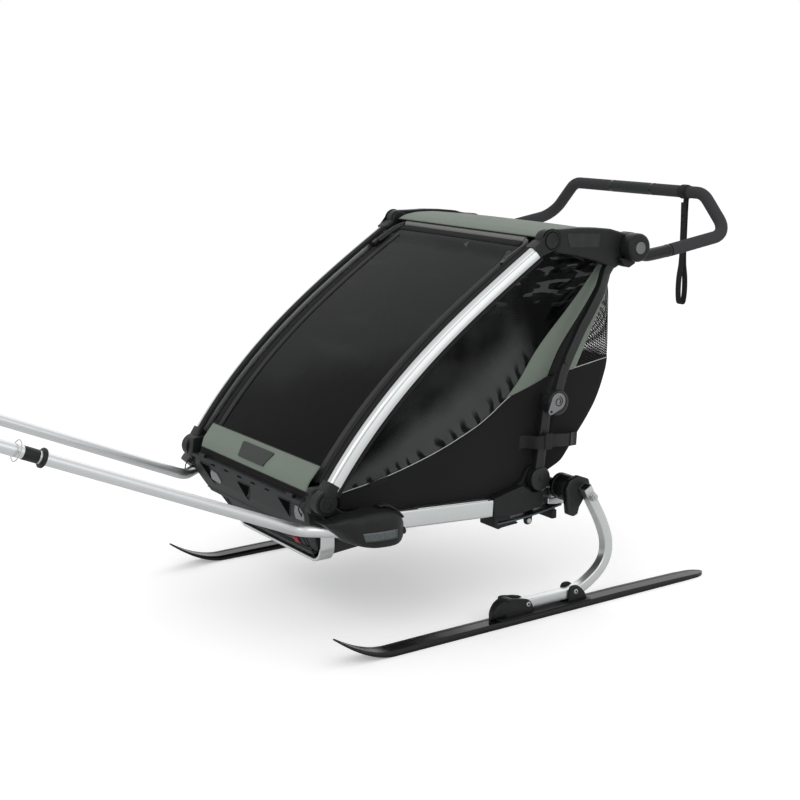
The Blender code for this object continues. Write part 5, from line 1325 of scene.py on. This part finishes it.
def build_front_panel():
    """The footwell: beam with its three triangular pockets, lipped floor, walls, reflectors, seams and red tag."""
    def on_beam(x, z, out=0.0):
        """A point on the beam's two sloping front faces, moved forward by out."""
        return level(x, np.interp(z, (0.252, 0.295, 0.347), (0.008, -0.012, -0.023)) - out, z)

    def on_floor(x, z, out=0.0):
        """A point on the floor's front slope."""
        slope = np.interp(z, (0.18, 0.1965, 0.208, 0.258), (0.064, 0.052, 0.044, 0.016))
        return level(x, slope - 0.0018 - out, z)

    outline = loop([
        (-0.023, 0.347), (-0.006, 0.35), (0.01, 0.344), (0.024, 0.27), (0.027, 0.25), (0.008, 0.252),
        (-0.012, 0.295),
    ], 0.0035, 5, 90)
    share = np.array((-1, -0.997, -0.99, -0.5, 0, 0.5, 0.99, 0.997, 1))
    half = np.minimum(0.2884, 0.243 + (outline[:, 1] - 0.24) * 0.7125)
    inset = np.array((0.003, 0.001, 0, 0, 0, 0, 0, 0.001, 0.003))
    beam = np.zeros((9, 90, 3))
    beam[..., 0] = share[:, None] * half
    beam[..., 1:] = outline + inward(outline) * inset[:, None, None]
    form = Form().solid(beam)
    knots = np.array([
        (0.016, 0.258, 0.25, 0.004), (0.044, 0.208, 0.222, 0.004), (0.052, 0.1965, 0.2005, 0.008),
        (0.064, 0.18, 0.2005, 0.038), (0.102, 0.1775, 0.2005, 0.038), (0.18, 0.19, 0.215, 0.03),
        (0.26, 0.225, 0.25, 0.02), (0.34, 0.262, 0.27, 0.006), (0.6, 0.27, 0.27, 0.006),
    ])
    line = even(knots, 80)
    normal = line_normal(line[:, :2])
    w, lip, half_wall = line[:, 2], line[:, 3], np.full(80, 0.0015)
    floor = np.zeros((80, 8, 3))
    floor[..., 0] = np.stack((-w, -w + 0.018, w - 0.018, w, w - 0.003, w - 0.0195, -w + 0.0195, -w + 0.003), axis=1)
    lift = np.stack((lip, -half_wall, -half_wall, lip, lip, half_wall, half_wall, lip), axis=1)
    floor[..., 1:] = line[:, None, :2] + normal[:, None] * lift[..., None]
    form.solid(floor)
    wall = even(np.array([(0.018, 0.258), (0.045, 0.2085), (0.058, 0.2055), (0.106, 0.205), (0.18, 0.1965),
                          (0.26, 0.2245), (0.34, 0.262), (0.34, 0.296), (0.018, 0.296)]), 120, closed=True)
    for low, high in ((-0.2025, -0.199), (0.199, 0.2025)):
        form.plate(wall, low, high, round_inner=0.0006, round_outer=0.0006, steps=3)
    ahead = (0, 1, 0)
    for corners in (
        [(-0.262, 0.336), (-0.204, 0.334), (-0.19, 0.282)],
        [(-0.056, 0.328), (0.012, 0.329), (-0.014, 0.283)],
        [(0.152, 0.337), (0.214, 0.339), (0.196, 0.294)],
    ):
        ring = loop(corners, 0.003, 4, 60)
        smaller = (ring - ring.mean(axis=0)) * 0.96 + ring.mean(axis=0)
        # Each pocket is a dark slab laid on the beam's face: painted shade of the pocket.
        pocket = np.stack((on_beam(*ring.T, -0.004), on_beam(*ring.T, 0.0007), on_beam(*smaller.T, 0.0009)))
        form.solid(pocket, 2)
        form.tube(on_beam(*shut(ring).T, 0.0004), 0.0013, 8, across=ahead)
    x = np.linspace(-0.288, 0.288, 60)
    form.rod(level(x, -0.015, 0.3475 + 0.001 * np.cos(x * 10)), square_tube(0.011, 0.0045, 0.002, 4), across=ahead)
    clip, gap = square_tube(0.005, 0.0045, 0.002, 4), square_tube(0.001, 0.0016, 0.0005, 3)
    for middle in (-0.235, 0.215):
        form.rod(level((middle - 0.014, middle + 0.014), -0.0205, 0.355), clip, 1, ahead)
    # Dark slots in the near-black recess finish: painted shade in the beam's gaps.
    for middle in (-0.17, -0.1, -0.03, 0.04, 0.11):
        form.rod(level((middle - 0.009, middle + 0.009), -0.0262, 0.344), gap, 2, ahead)
    points = smooth_line([(-0.262, 0.262), (-0.12, 0.264), (0.0, 0.2645), (0.12, 0.264), (0.262, 0.262)], 50)
    form.tube(on_beam(*points.T, 0.0002), 0.001, 8, 1, ahead)
    for points in ([(-0.206, 0.248), (-0.2, 0.214), (-0.176, 0.2), (0.176, 0.2), (0.2, 0.214), (0.206, 0.248)],
                   [(-0.19, 0.246), (-0.184, 0.22), (-0.164, 0.208), (0.164, 0.208), (0.184, 0.22), (0.19, 0.246)]):
        # The floor's seams as thin raised lines of painted shade.
        form.tube(on_floor(*smooth_line(points, 80).T, 0.0002), 0.0011, 8, 2, ahead)
    put(form, "tub_shell", "chassis", ["moulding_light", "moulding", "painted_recess_shade"], ["footwell_tub"], 30)
    glow = Form()
    for corners in (
        [(-0.202, 0.298), (-0.154, 0.295), (-0.148, 0.303), (-0.164, 0.322), (-0.192, 0.325), (-0.202, 0.316)],
        [(0.226, 0.299), (0.268, 0.302), (0.271, 0.322), (0.258, 0.336), (0.236, 0.336), (0.225, 0.316)],
    ):
        face = on_beam(*loop(corners, 0.003, 4, 60).T)
        smaller = (face - face.mean(axis=0)) * 0.93 + face.mean(axis=0)
        plate = np.stack((face + (0, 0.002, 0), face - (0, 0.0016, 0), smaller - (0, 0.0024, 0)))
        glow.solid(plate)
    put(glow, "front_reflectors", "chassis", "reflector")
    tag = between(on_floor(np.linspace(0.132, 0.16, 6), np.full(6, 0.226), 0.002),
                  on_floor(np.linspace(0.134, 0.158, 6), np.full(6, 0.21), 0.003), 5, (0, -0.002, 0))
    cloth(tag, "red_pull_tag", "chassis", "red", 0.001)


def build_tethers():
    """The thin cords beside the tub's two front corners, each from the corner to the tub or the tow pole."""
    for side, knots in (
        ("right", [(0.296, -0.02, 0.379), (0.288, -0.029, 0.364), (0.27, -0.032, 0.338), (0.258, -0.017, 0.312)]),
        ("left", [(-0.296, -0.015, 0.35), (-0.304, -0.025, 0.334), (-0.31, -0.034, 0.318), (-0.309, -0.038, 0.302)]),
    ):
        line = smooth_line(knots, 40)
        form = Form().tube(line, 0.0015, 12, across=(0.4, 0.8, 0.2))
        item = put(form, "tether_" + side, "chassis", "webbing")


def piping_line():
    """The S-curve that parts the lower cloth from the side window."""
    return side_points(smooth_line([
        (0.051, 0.365), (0.182, 0.386), (0.324, 0.423), (0.44, 0.467), (0.495, 0.496), (0.54, 0.526),
        (0.58, 0.548), (0.62, 0.562), (0.676, 0.574),
    ], 90), WALL_X)


def build_side_walls():
    """Side walls: lower cloth, reflective piping, slack window film, sage strips, black panel and bare tag.

    The lower cloth waves by 0.0012 sin(5 pi s) sin(pi t). The film is pushed out by puckers,
    cos(88 s + 2.5 t) exp(-((t - 0.09) / 0.085)^2), and by creases at its rear end,
    sin(26 t + 11 s) exp(-((s - 0.88) / 0.09)^2) sin(pi t)^0.5, each 3.4 mm high.
    """
    curve = piping_line()
    foot = side_points(smooth_line([
        (0.051, 0.33), (0.15, 0.312), (0.241, 0.3), (0.4, 0.29), (0.507, 0.286), (0.58, 0.3),
        (0.625, 0.335), (0.66, 0.41), (0.69, 0.5), (0.705, 0.576),
    ], 90), WALL_X)
    lower = between(foot, curve, 16, (0.0075, 0, 0), 0.8)
    wave = np.sin(np.linspace(0, 5 * math.pi, 90))[None] * np.sin(np.linspace(0, math.pi, 16))[:, None]
    lower[..., 0] += 0.0012 * wave
    roof_edge = smooth_line([(0.63, 0.905), (0.7, 0.9), (0.778, 0.884), (0.848, 0.864)], 20)
    upper = side_points(np.vstack((bow(np.linspace(0.06, 0.93, 70), -0.018), roof_edge)), WALL_X)
    strip_front = smooth_line([(0.545, 0.533), (0.588, 0.577), (0.629, 0.632), (0.671, 0.678), (0.739, 0.743),
                               (0.811, 0.818), (0.848, 0.864)], 60)
    low_edge = np.vstack((curve[curve[:, 1] < 0.545], side_points(strip_front, WALL_X)))
    window = between(even(low_edge, 160), even(upper, 160), 48, (-0.004, 0, 0), 0.7)
    s, t = np.meshgrid(np.linspace(0, 1, 160), np.linspace(0, 1, 48), indexing="xy")
    puckers = np.cos(s * 88 + 2.5 * t) * np.exp(-((t - 0.09) / 0.085) ** 2)
    ripple = puckers * np.clip((s - 0.04) * 10, 0, 1) * np.clip((0.62 - s) * 6, 0, 1)
    crease = np.sin(t * 26 + s * 11) * np.exp(-((s - 0.88) / 0.09) ** 2) * np.sin(math.pi * t) ** 0.5
    window[..., 0] += 0.0034 * ripple + 0.0034 * crease
    strip_rear = smooth_line([(0.676, 0.574), (0.699, 0.62), (0.725, 0.66), (0.784, 0.731), (0.832, 0.795),
                              (0.864, 0.846)], 60)
    strip = between(side_points(strip_front, WALL_X + 0.001), side_points(strip_rear, WALL_X + 0.001), 10,
                    (0.004, 0, 0))
    behind = smooth_line([(0.731, 0.58), (0.77, 0.642), (0.82, 0.715), (0.872, 0.788), (0.876, 0.83)], 60)
    panel = between(side_points(strip_rear, WALL_X + 0.0004), side_points(behind, WALL_X - 0.001), 8, (0.0015, 0, 0))
    tag = bent([(0.136, 0.38), (0.193, 0.3895), (0.191, 0.377), (0.142, 0.366)], 0.002, 4, closed=True)
    for side, sign in SIDES:
        crumple(cloth(lower, "side_cloth_" + side, "chassis", "black_cloth", 0.0018, sign, True,
                      replaces=["side_panel_" + side]))
        edge = Form(sign).tube(curve + (0.0012, 0, 0), 0.0011, 10)
        crumple(put(edge, "side_piping_" + side, "chassis", "piping"))
        crumple(cloth(window, "side_window_" + side, "chassis", "side_film", 0.001, sign, True, "window"))
        # The strip takes the darker copy of the sage cloth: painted shade.
        crumple(cloth(strip, "side_strip_" + side, "chassis", "sage_shade", 0.0018, sign, slot="sage_fabric"))
        crumple(cloth(panel, "rear_side_panel_" + side, "chassis", "black_cloth", 0.0016, sign))
        plate = Form(sign).plate(tag, 0.308, 0.3096, round_inner=0.0002, round_outer=0.0005)
        crumple(put(plate, "side_tag_" + side, "chassis", "border"))


def bag_profile():
    """Rear outline of the luggage bag in the side view, from its top to its foot."""
    return smooth_line([
        (0.86, 0.825), (0.878, 0.787), (0.881, 0.702), (0.881, 0.601), (0.869, 0.55), (0.846, 0.495),
        (0.815, 0.448), (0.783, 0.408), (0.753, 0.368), (0.73, 0.344), (0.685, 0.325),
    ], 80)


def build_bag():
    """The luggage bag: a shell wrapped from side to side round two close corners, net above the piping and cloth
    below it, and the cabin's black back above the bag.

    A quarter circle of 13.5 mm turns each corner, and the sides run forward in a straight line to the seam. The
    back bulges outward by 0.014 sin(pi t) from its hem to the roof's edge.
    """
    profile = bag_profile()
    seam = int(np.argmin(np.abs(profile[:, 1] - 0.601)))
    inner = np.vstack((
        smooth_line([(0.856, 0.823), (0.825, 0.725), (0.774, 0.648), (0.731, 0.579)], seam + 1),
        smooth_line([(0.731, 0.579), (0.708, 0.5), (0.685, 0.43), (0.668, 0.37), (0.66, 0.329)], 80 - seam)[1:],
    ))
    back_share, corner_share, back_half, corner_radius = 0.7, 0.3, 0.285, 0.0135
    turn = np.linspace(-1, 1, 121)
    flat = np.minimum(np.abs(turn) / back_share, 1)
    rest = np.clip((np.abs(turn) - back_share) / (1 - back_share), 0, 1)
    corner = np.clip(rest / corner_share, 0, 1) * math.pi / 2
    along = np.clip((rest - corner_share) / (1 - corner_share), 0, 1)
    x_line = np.sign(turn) * (back_half * flat + corner_radius * np.sin(corner) + 0.002 * along)
    depth = (1 - 0.08 * (1 - np.cos(corner))) * (1 - along)
    grid = np.zeros((80, 121, 3))
    grid[..., 0] = x_line
    grid[..., 1:] = inner[:, None] * (1 - depth[None, :, None]) + profile[:, None] * depth[None, :, None]
    sag = np.sin(np.linspace(0, math.pi, 80))[:, None] * (1 - np.abs(turn) ** 4)[None]
    grid[..., 1] += 0.004 * sag + 0.006 * depth[None] * np.sin(np.linspace(0.3, math.pi, 80))[:, None]
    sink(cloth(grid[seam:], "bag_cloth", "chassis", "black_cloth", 0.0018, replaces=["cargo_bag"]))
    sink(put(Form().grid(grid[: seam + 1]), "bag_net", "chassis", "net"))
    across = np.linspace(-1, 1, 61)
    foot, head = level(across * 0.29, 0.856, 0.823), level(across * 0.29, 0.886, 0.919 + 0.004 * (1 - across**2))
    cloth(between(foot, head, 14, (0, 0.014, 0)), "cabin_back", "top_frame", "black_cloth", 0.0014)
    lining = grid[: seam + 1].copy()
    lining[..., 1] = inner[: seam + 1, None, 0] + 0.002
    lining[..., 0] *= 0.985
    sink(put(Form().grid(lining[:, ::4]), "bag_lining", "chassis", "black_cloth"))
    trims = Form().tube(grid[seam], 0.0012, 10, across=(0, 0.1, 1))
    sink(put(trims, "bag_piping", "chassis", "piping"))
    hem = Form().tube(grid[0], 0.003, 12, across=(0, 0.1, 1))
    for edge in (18, -19):
        hem.tube(grid[:, edge], 0.001, 8, across=(0, 1, 0.2))
    sink(put(hem, "bag_hems", "chassis", "border"))
    strip_line = smooth_line([(0.872, 0.788), (0.82, 0.715), (0.77, 0.642), (0.731, 0.58)], 50)
    back_line = smooth_line([(0.874, 0.786), (0.84, 0.715), (0.802, 0.642), (0.773, 0.587)], 50)
    flap = between(side_points(strip_line, 0.3022), side_points(back_line, 0.3018), 8, (0.001, 0, 0))
    for side, sign in SIDES:
        # The strip takes the darker copy of the sage cloth: painted shade.
        sink(cloth(flap, "rear_strip_" + side, "chassis", "sage_shade", 0.0016, sign, slot="sage_fabric"))


def build_seats():
    """Two padded places on one sling: crowned backs and bases that pull in at sewn channels.

    The pad lifts by 0.005 + 0.018 |sin(pi u)|^0.55 sin(pi v)^0.5 off the sling, less 35 % at each channel.
    """
    line = smooth_line([(0.17, 0.306), (0.25, 0.314), (0.36, 0.314), (0.43, 0.326), (0.475, 0.375),
                        (0.505, 0.46), (0.55, 0.6), (0.602, 0.74), (0.65, 0.85)], 90)
    normal = line_normal(line)
    across = np.linspace(-1, 1, 81)
    place = np.abs(np.sin(math.pi * across)) ** 0.55
    along = np.linspace(0, 1, 90)
    channels = 1 - 0.35 * np.exp(-((along[:, None] - (0.36, 0.52, 0.78)) / 0.012) ** 2).sum(axis=1)
    fade = np.sin(math.pi * np.clip(along, 0.03, 0.97)) ** 0.5
    lift = 0.005 + 0.018 * place[None] * (fade * channels)[:, None]
    grid = np.zeros((90, 81, 3))
    grid[..., 0] = 0.275 * across
    grid[..., 1:] = line[:, None] + normal[:, None] * lift[..., None]
    back = grid.copy()
    back[..., 1:] = line[:, None] - normal[:, None] * 0.006
    ring = np.concatenate((grid, back[:, ::-1]), axis=1)
    pads = Form().solid(ring)
    item = put(pads, "seat_pads", "chassis", "seat_cloth", ["seat"])
    crumple(item)
    head = Form()
    for middle in (-SEAT_X, SEAT_X):
        head.grid(grid[62:87, np.abs(across * 0.275 - middle) < 0.085] + (0, -0.0022, 0.0008))
    crumple(put(head, "head_nets", "chassis", "net"))


def ribbon(form, points, width, across=(1, 0, 0)):
    """A flat strap of webbing along a smooth line."""
    return form.rod(smooth_line(points, 40), rounded_box(width / 2, 0.0008, 5, 10), across=across)


def build_harness():
    """Belts of both places: shoulder straps with pads, a lap buckle, a crotch strap and a small tag."""
    for side, sign in SIDES:
        form, middle = Form(sign), SEAT_X
        for way in (-1, 1):
            x = middle + way * 0.036
            ribbon(form, [(x * 0.98, 0.566, 0.735), (x, 0.535, 0.66), (x, 0.505, 0.56), (x, 0.47, 0.47),
                          (middle + way * 0.02, 0.432, 0.412)], 0.024)
            path = smooth_line([(x, 0.533, 0.668), (x, 0.505, 0.57), (x, 0.48, 0.505)], 20)
            form.rod(path, rounded_box(0.019, 0.0055, 3, 20), 1)
        ribbon(form, [(middle, 0.426, 0.402), (middle, 0.392, 0.372), (middle, 0.352, 0.345)], 0.026)
        ribbon(form, [(middle - 0.115, 0.44, 0.372), (middle - 0.06, 0.424, 0.4), (middle, 0.42, 0.406),
                      (middle + 0.06, 0.424, 0.4), (middle + 0.115, 0.44, 0.372)], 0.024, across=(0, 0.5, 0.9))
        buckle = circle((0, 0), 0.024, 40)
        block = np.stack([np.column_stack((middle + buckle[:, 0] * k, 0.417 - d * 0.82 + buckle[:, 1] * k * 0.55,
                                           0.406 + d * 0.57 + buckle[:, 1] * k * 0.82))
                          for k, d in ((0.92, -0.002), (1.0, 0.001), (1.0, 0.008), (0.9, 0.011))])
        form.solid(block, 2)
        crumple(put(form, "belts_" + side, "chassis", ["webbing", "seat_cloth", "black_gloss"],
                    ["harness_" + side]))


def build_side_straps():
    """The webbing straps that hold the bag's corners round the struts, with their keepers."""
    for side, sign in SIDES:
        form = Form(sign)
        path = smooth_line([
            (0.308, 0.584, 0.415), (0.32, 0.6, 0.418), (0.352, 0.61, 0.42), (0.358, 0.63, 0.421),
            (0.354, 0.67, 0.419), (0.336, 0.715, 0.41), (0.314, 0.756, 0.403), (0.309, 0.776, 0.401),
        ], 70)
        form.rod(path, rounded_box(0.0165, 0.001, 6, 14), across=(0, 0, 1))
        pad = smooth_line([(0.3092, 0.583, 0.415), (0.311, 0.606, 0.415), (0.312, 0.63, 0.414)], 12)
        form.rod(pad, rounded_box(0.02, 0.0012, 6, 14), 1, across=(0, 0, 1))
        form.rod(path[22:30] + (0.002, 0, 0), square_tube(0.0205, 0.0016, 0.001, 3), 2, across=(0, 0, 1))
        form.rod(path[58:69] + (0.0018, 0, 0), square_tube(0.0175, 0.0024, 0.0015, 4), 2, across=(0, 0, 1))
        crumple(put(form, "bag_strap_" + side, "chassis", ["webbing", "border", "moulding"],
                    ["side_strap_" + side]))


def build_plain_nodes():
    """The black finish of the packed tubes that keep their own shape."""
    for name in ("rear_cross_tube", "top_crossbar"):
        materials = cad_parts[name].data.materials
        materials.clear()
        materials.append(finish("tube"))


# The stage


def build_stage():
    """Pale floor, even light and the camera at the photograph's angle."""
    scene = bpy.context.scene
    light = scene.trailer_light
    bpy.ops.mesh.primitive_plane_add(size=60, location=(0, 0, -0.0006))
    floor = bpy.context.object
    floor.name = "floor"
    paper = Finish("pale_floor", (0.9, 0.9, 0.9), 0.9, Specular_IOR_Level=0.0, Emission_Strength=1.0)
    seen = paper.add("ShaderNodeLightPath", output="Is Camera Ray") * light.backdrop
    paper.set("Emission Color", paper.blend(seen, (0, 0, 0), (1, 1, 1)))
    floor.data.materials.append(paper.material)
    world = bpy.data.worlds.new("soft_room")
    scene.world = world
    world.use_nodes = True
    nodes, links = world.node_tree.nodes, world.node_tree.links
    room = nodes["Background"]
    rays = nodes.new("ShaderNodeLightPath")
    first, second = nodes.new("ShaderNodeMath"), nodes.new("ShaderNodeMath")
    for node in (first, second):
        node.operation = "MAXIMUM"
    links.new(rays.outputs["Is Camera Ray"], first.inputs[0])
    links.new(rays.outputs["Is Glossy Ray"], first.inputs[1])
    links.new(first.outputs[0], second.inputs[0])
    links.new(rays.outputs["Is Transmission Ray"], second.inputs[1])
    level = nodes.new("ShaderNodeMapRange")
    links.new(second.outputs[0], level.inputs["Value"])
    level.inputs["To Min"].default_value = light.room
    level.inputs["To Max"].default_value = 1.0
    room.inputs["Color"].default_value = (1, 1, 1, 1)
    links.new(level.outputs[0], room.inputs["Strength"])
    target = Vector((0, 0.3, 0.4))
    for name, place, size, power in (
        ("key", (2.6, -3.2, 4.2), 2.6, light.key), ("side", (4.4, 1.6, 2.2), 2.4, light.side),
        ("back", (-2.5, 3.6, 3.4), 3.0, light.back),
    ):
        lamp = bpy.data.lights.new(name, "AREA")
        lamp.size, lamp.energy = size, power
        item = bpy.data.objects.new(name, lamp)
        scene.collection.objects.link(item)
        item.location = place
        item.rotation_euler = (target - Vector(place)).to_track_quat("-Z", "Y").to_euler()
    camera = bpy.data.cameras.new("photo_camera")
    camera.sensor_width, camera.lens = 36.0, light.lens
    item = bpy.data.objects.new("photo_camera", camera)
    scene.collection.objects.link(item)
    item.location = PHOTO_EYE
    item.rotation_euler = Vector(PHOTO_LOOK).to_track_quat("-Z", "Y").to_euler()
    scene.camera = item
    scene.view_settings.view_transform = "Standard"


# The add-on


class TrailerColours(bpy.types.PropertyGroup):
    """Colours that a user would change."""

    sage: bpy.props.FloatVectorProperty(
        name="Sage cloth", description="Roof, front band and side strips", subtype="COLOR",
        default=tone(118, 128, 118), min=0, max=1)
    cloth: bpy.props.FloatVectorProperty(
        name="Black cloth", description="Lower walls and luggage bag", subtype="COLOR",
        default=tone(27, 27, 27), min=0, max=1)
    moulding: bpy.props.FloatVectorProperty(
        name="Moulding", description="Castings, housings and hubs", subtype="COLOR",
        default=tone(25, 26, 27), min=0, max=1)
    foam: bpy.props.FloatVectorProperty(
        name="Handle foam", description="Grip on the push handle", subtype="COLOR",
        default=tone(60, 60, 62), min=0, max=1)
    film: bpy.props.FloatVectorProperty(
        name="Window film", description="Tint of the windows", subtype="COLOR",
        default=tone(7, 8, 8), min=0, max=1)
    ski: bpy.props.FloatVectorProperty(
        name="Ski", description="Top sheet and sole of the skis", subtype="COLOR",
        default=tone(17, 15, 15), min=0, max=1)


class TrailerLight(bpy.types.PropertyGroup):
    """Lamps and lens of the stage."""

    room: bpy.props.FloatProperty(
        name="Room", description="Even light from all round", default=0.8, min=0, max=2)
    backdrop: bpy.props.FloatProperty(
        name="Backdrop", description="Lift of the floor as the camera sees it", default=0.3, min=0, max=1)
    key: bpy.props.FloatProperty(
        name="Key lamp", description="Soft lamp above the front", default=42.0, min=0, unit="POWER")
    side: bpy.props.FloatProperty(
        name="Side lamp", description="Soft lamp at the handle's side", default=18.0, min=0, unit="POWER")
    back: bpy.props.FloatProperty(
        name="Back lamp", description="Soft lamp behind", default=26.0, min=0, unit="POWER")
    lens: bpy.props.FloatProperty(
        name="Lens", description="Focal length of the camera", default=65.82, min=10, max=200, unit="CAMERA")


def operator(name, label, text, *makers):
    """An operator class that runs the given makers in order."""

    def execute(self, context):
        for make in makers:
            make()
        return {"FINISHED"}

    return type("TRAILER_OT_" + name, (bpy.types.Operator,), {
        "bl_idname": "trailer." + name, "bl_label": label, "__doc__": text, "bl_options": {"REGISTER", "UNDO"},
        "execute": execute,
    })


OPERATORS = (
    operator("stage", "Stage", "Add the floor, the light and the camera", build_stage),
    operator("front_frame", "Front frame", "Add the pillars, sockets, window, roller and sage band",
             build_pillars, build_sockets, build_window, build_band),
    operator("top_frame", "Top frame", "Add the housings, roof, rear posts and fold levers",
             build_housings, build_roof, build_posts),
    operator("lower_frame", "Lower frame", "Add the rear struts", build_struts),
    operator("push_handle", "Push handle", "Add the bar, hubs, buttons and wrist strap",
             build_handle, build_wrist_strap),
    operator("chassis", "Chassis", "Add the rails, bumper, corners, castings and footwell trim",
             build_rails, build_corners, build_casting, build_front_panel, build_plain_nodes),
    operator("hitch", "Hitch", "Add the hitch wings and tow poles", build_wings, build_poles),
    operator("running_gear", "Running gear", "Add the axle, legs, skis and bindings",
             build_axle, build_legs, build_skis, build_bindings),
    operator("cabin", "Cabin cloth", "Add the side walls, luggage bag, seats, belts, straps and cords",
             build_side_walls, build_bag, build_seats, build_harness, build_side_straps, build_tethers),
)


class TRAILER_PT_panel(bpy.types.Panel):
    """Lists the trailer's groups of pieces."""

    bl_idname = "TRAILER_PT_panel"
    bl_label = "Child trailer"
    bl_space_type = "VIEW_3D"
    bl_region_type = "UI"
    bl_category = "Trailer"

    def draw(self, context):
        for group in (context.scene.trailer_colours, context.scene.trailer_light):
            for key in group.__annotations__:
                self.layout.prop(group, key)
        for maker in OPERATORS:
            self.layout.operator(maker.bl_idname)


CLASSES = (TrailerColours, TrailerLight, *OPERATORS, TRAILER_PT_panel)


def register():
    """Register the classes and hang the settings on the scene."""
    for item in CLASSES:
        bpy.utils.register_class(item)
    bpy.types.Scene.trailer_colours = bpy.props.PointerProperty(type=TrailerColours)
    bpy.types.Scene.trailer_light = bpy.props.PointerProperty(type=TrailerLight)


def unregister():
    """Undo register."""
    del bpy.types.Scene.trailer_light
    del bpy.types.Scene.trailer_colours
    for item in reversed(CLASSES):
        bpy.utils.unregister_class(item)


def main():
    """Register, build every group in order and write the two boxes."""
    register()
    for maker in OPERATORS:
        name = maker.bl_idname.split(".")[1]
        getattr(bpy.ops.trailer, name)()


if __name__ == "__main__":
    main()
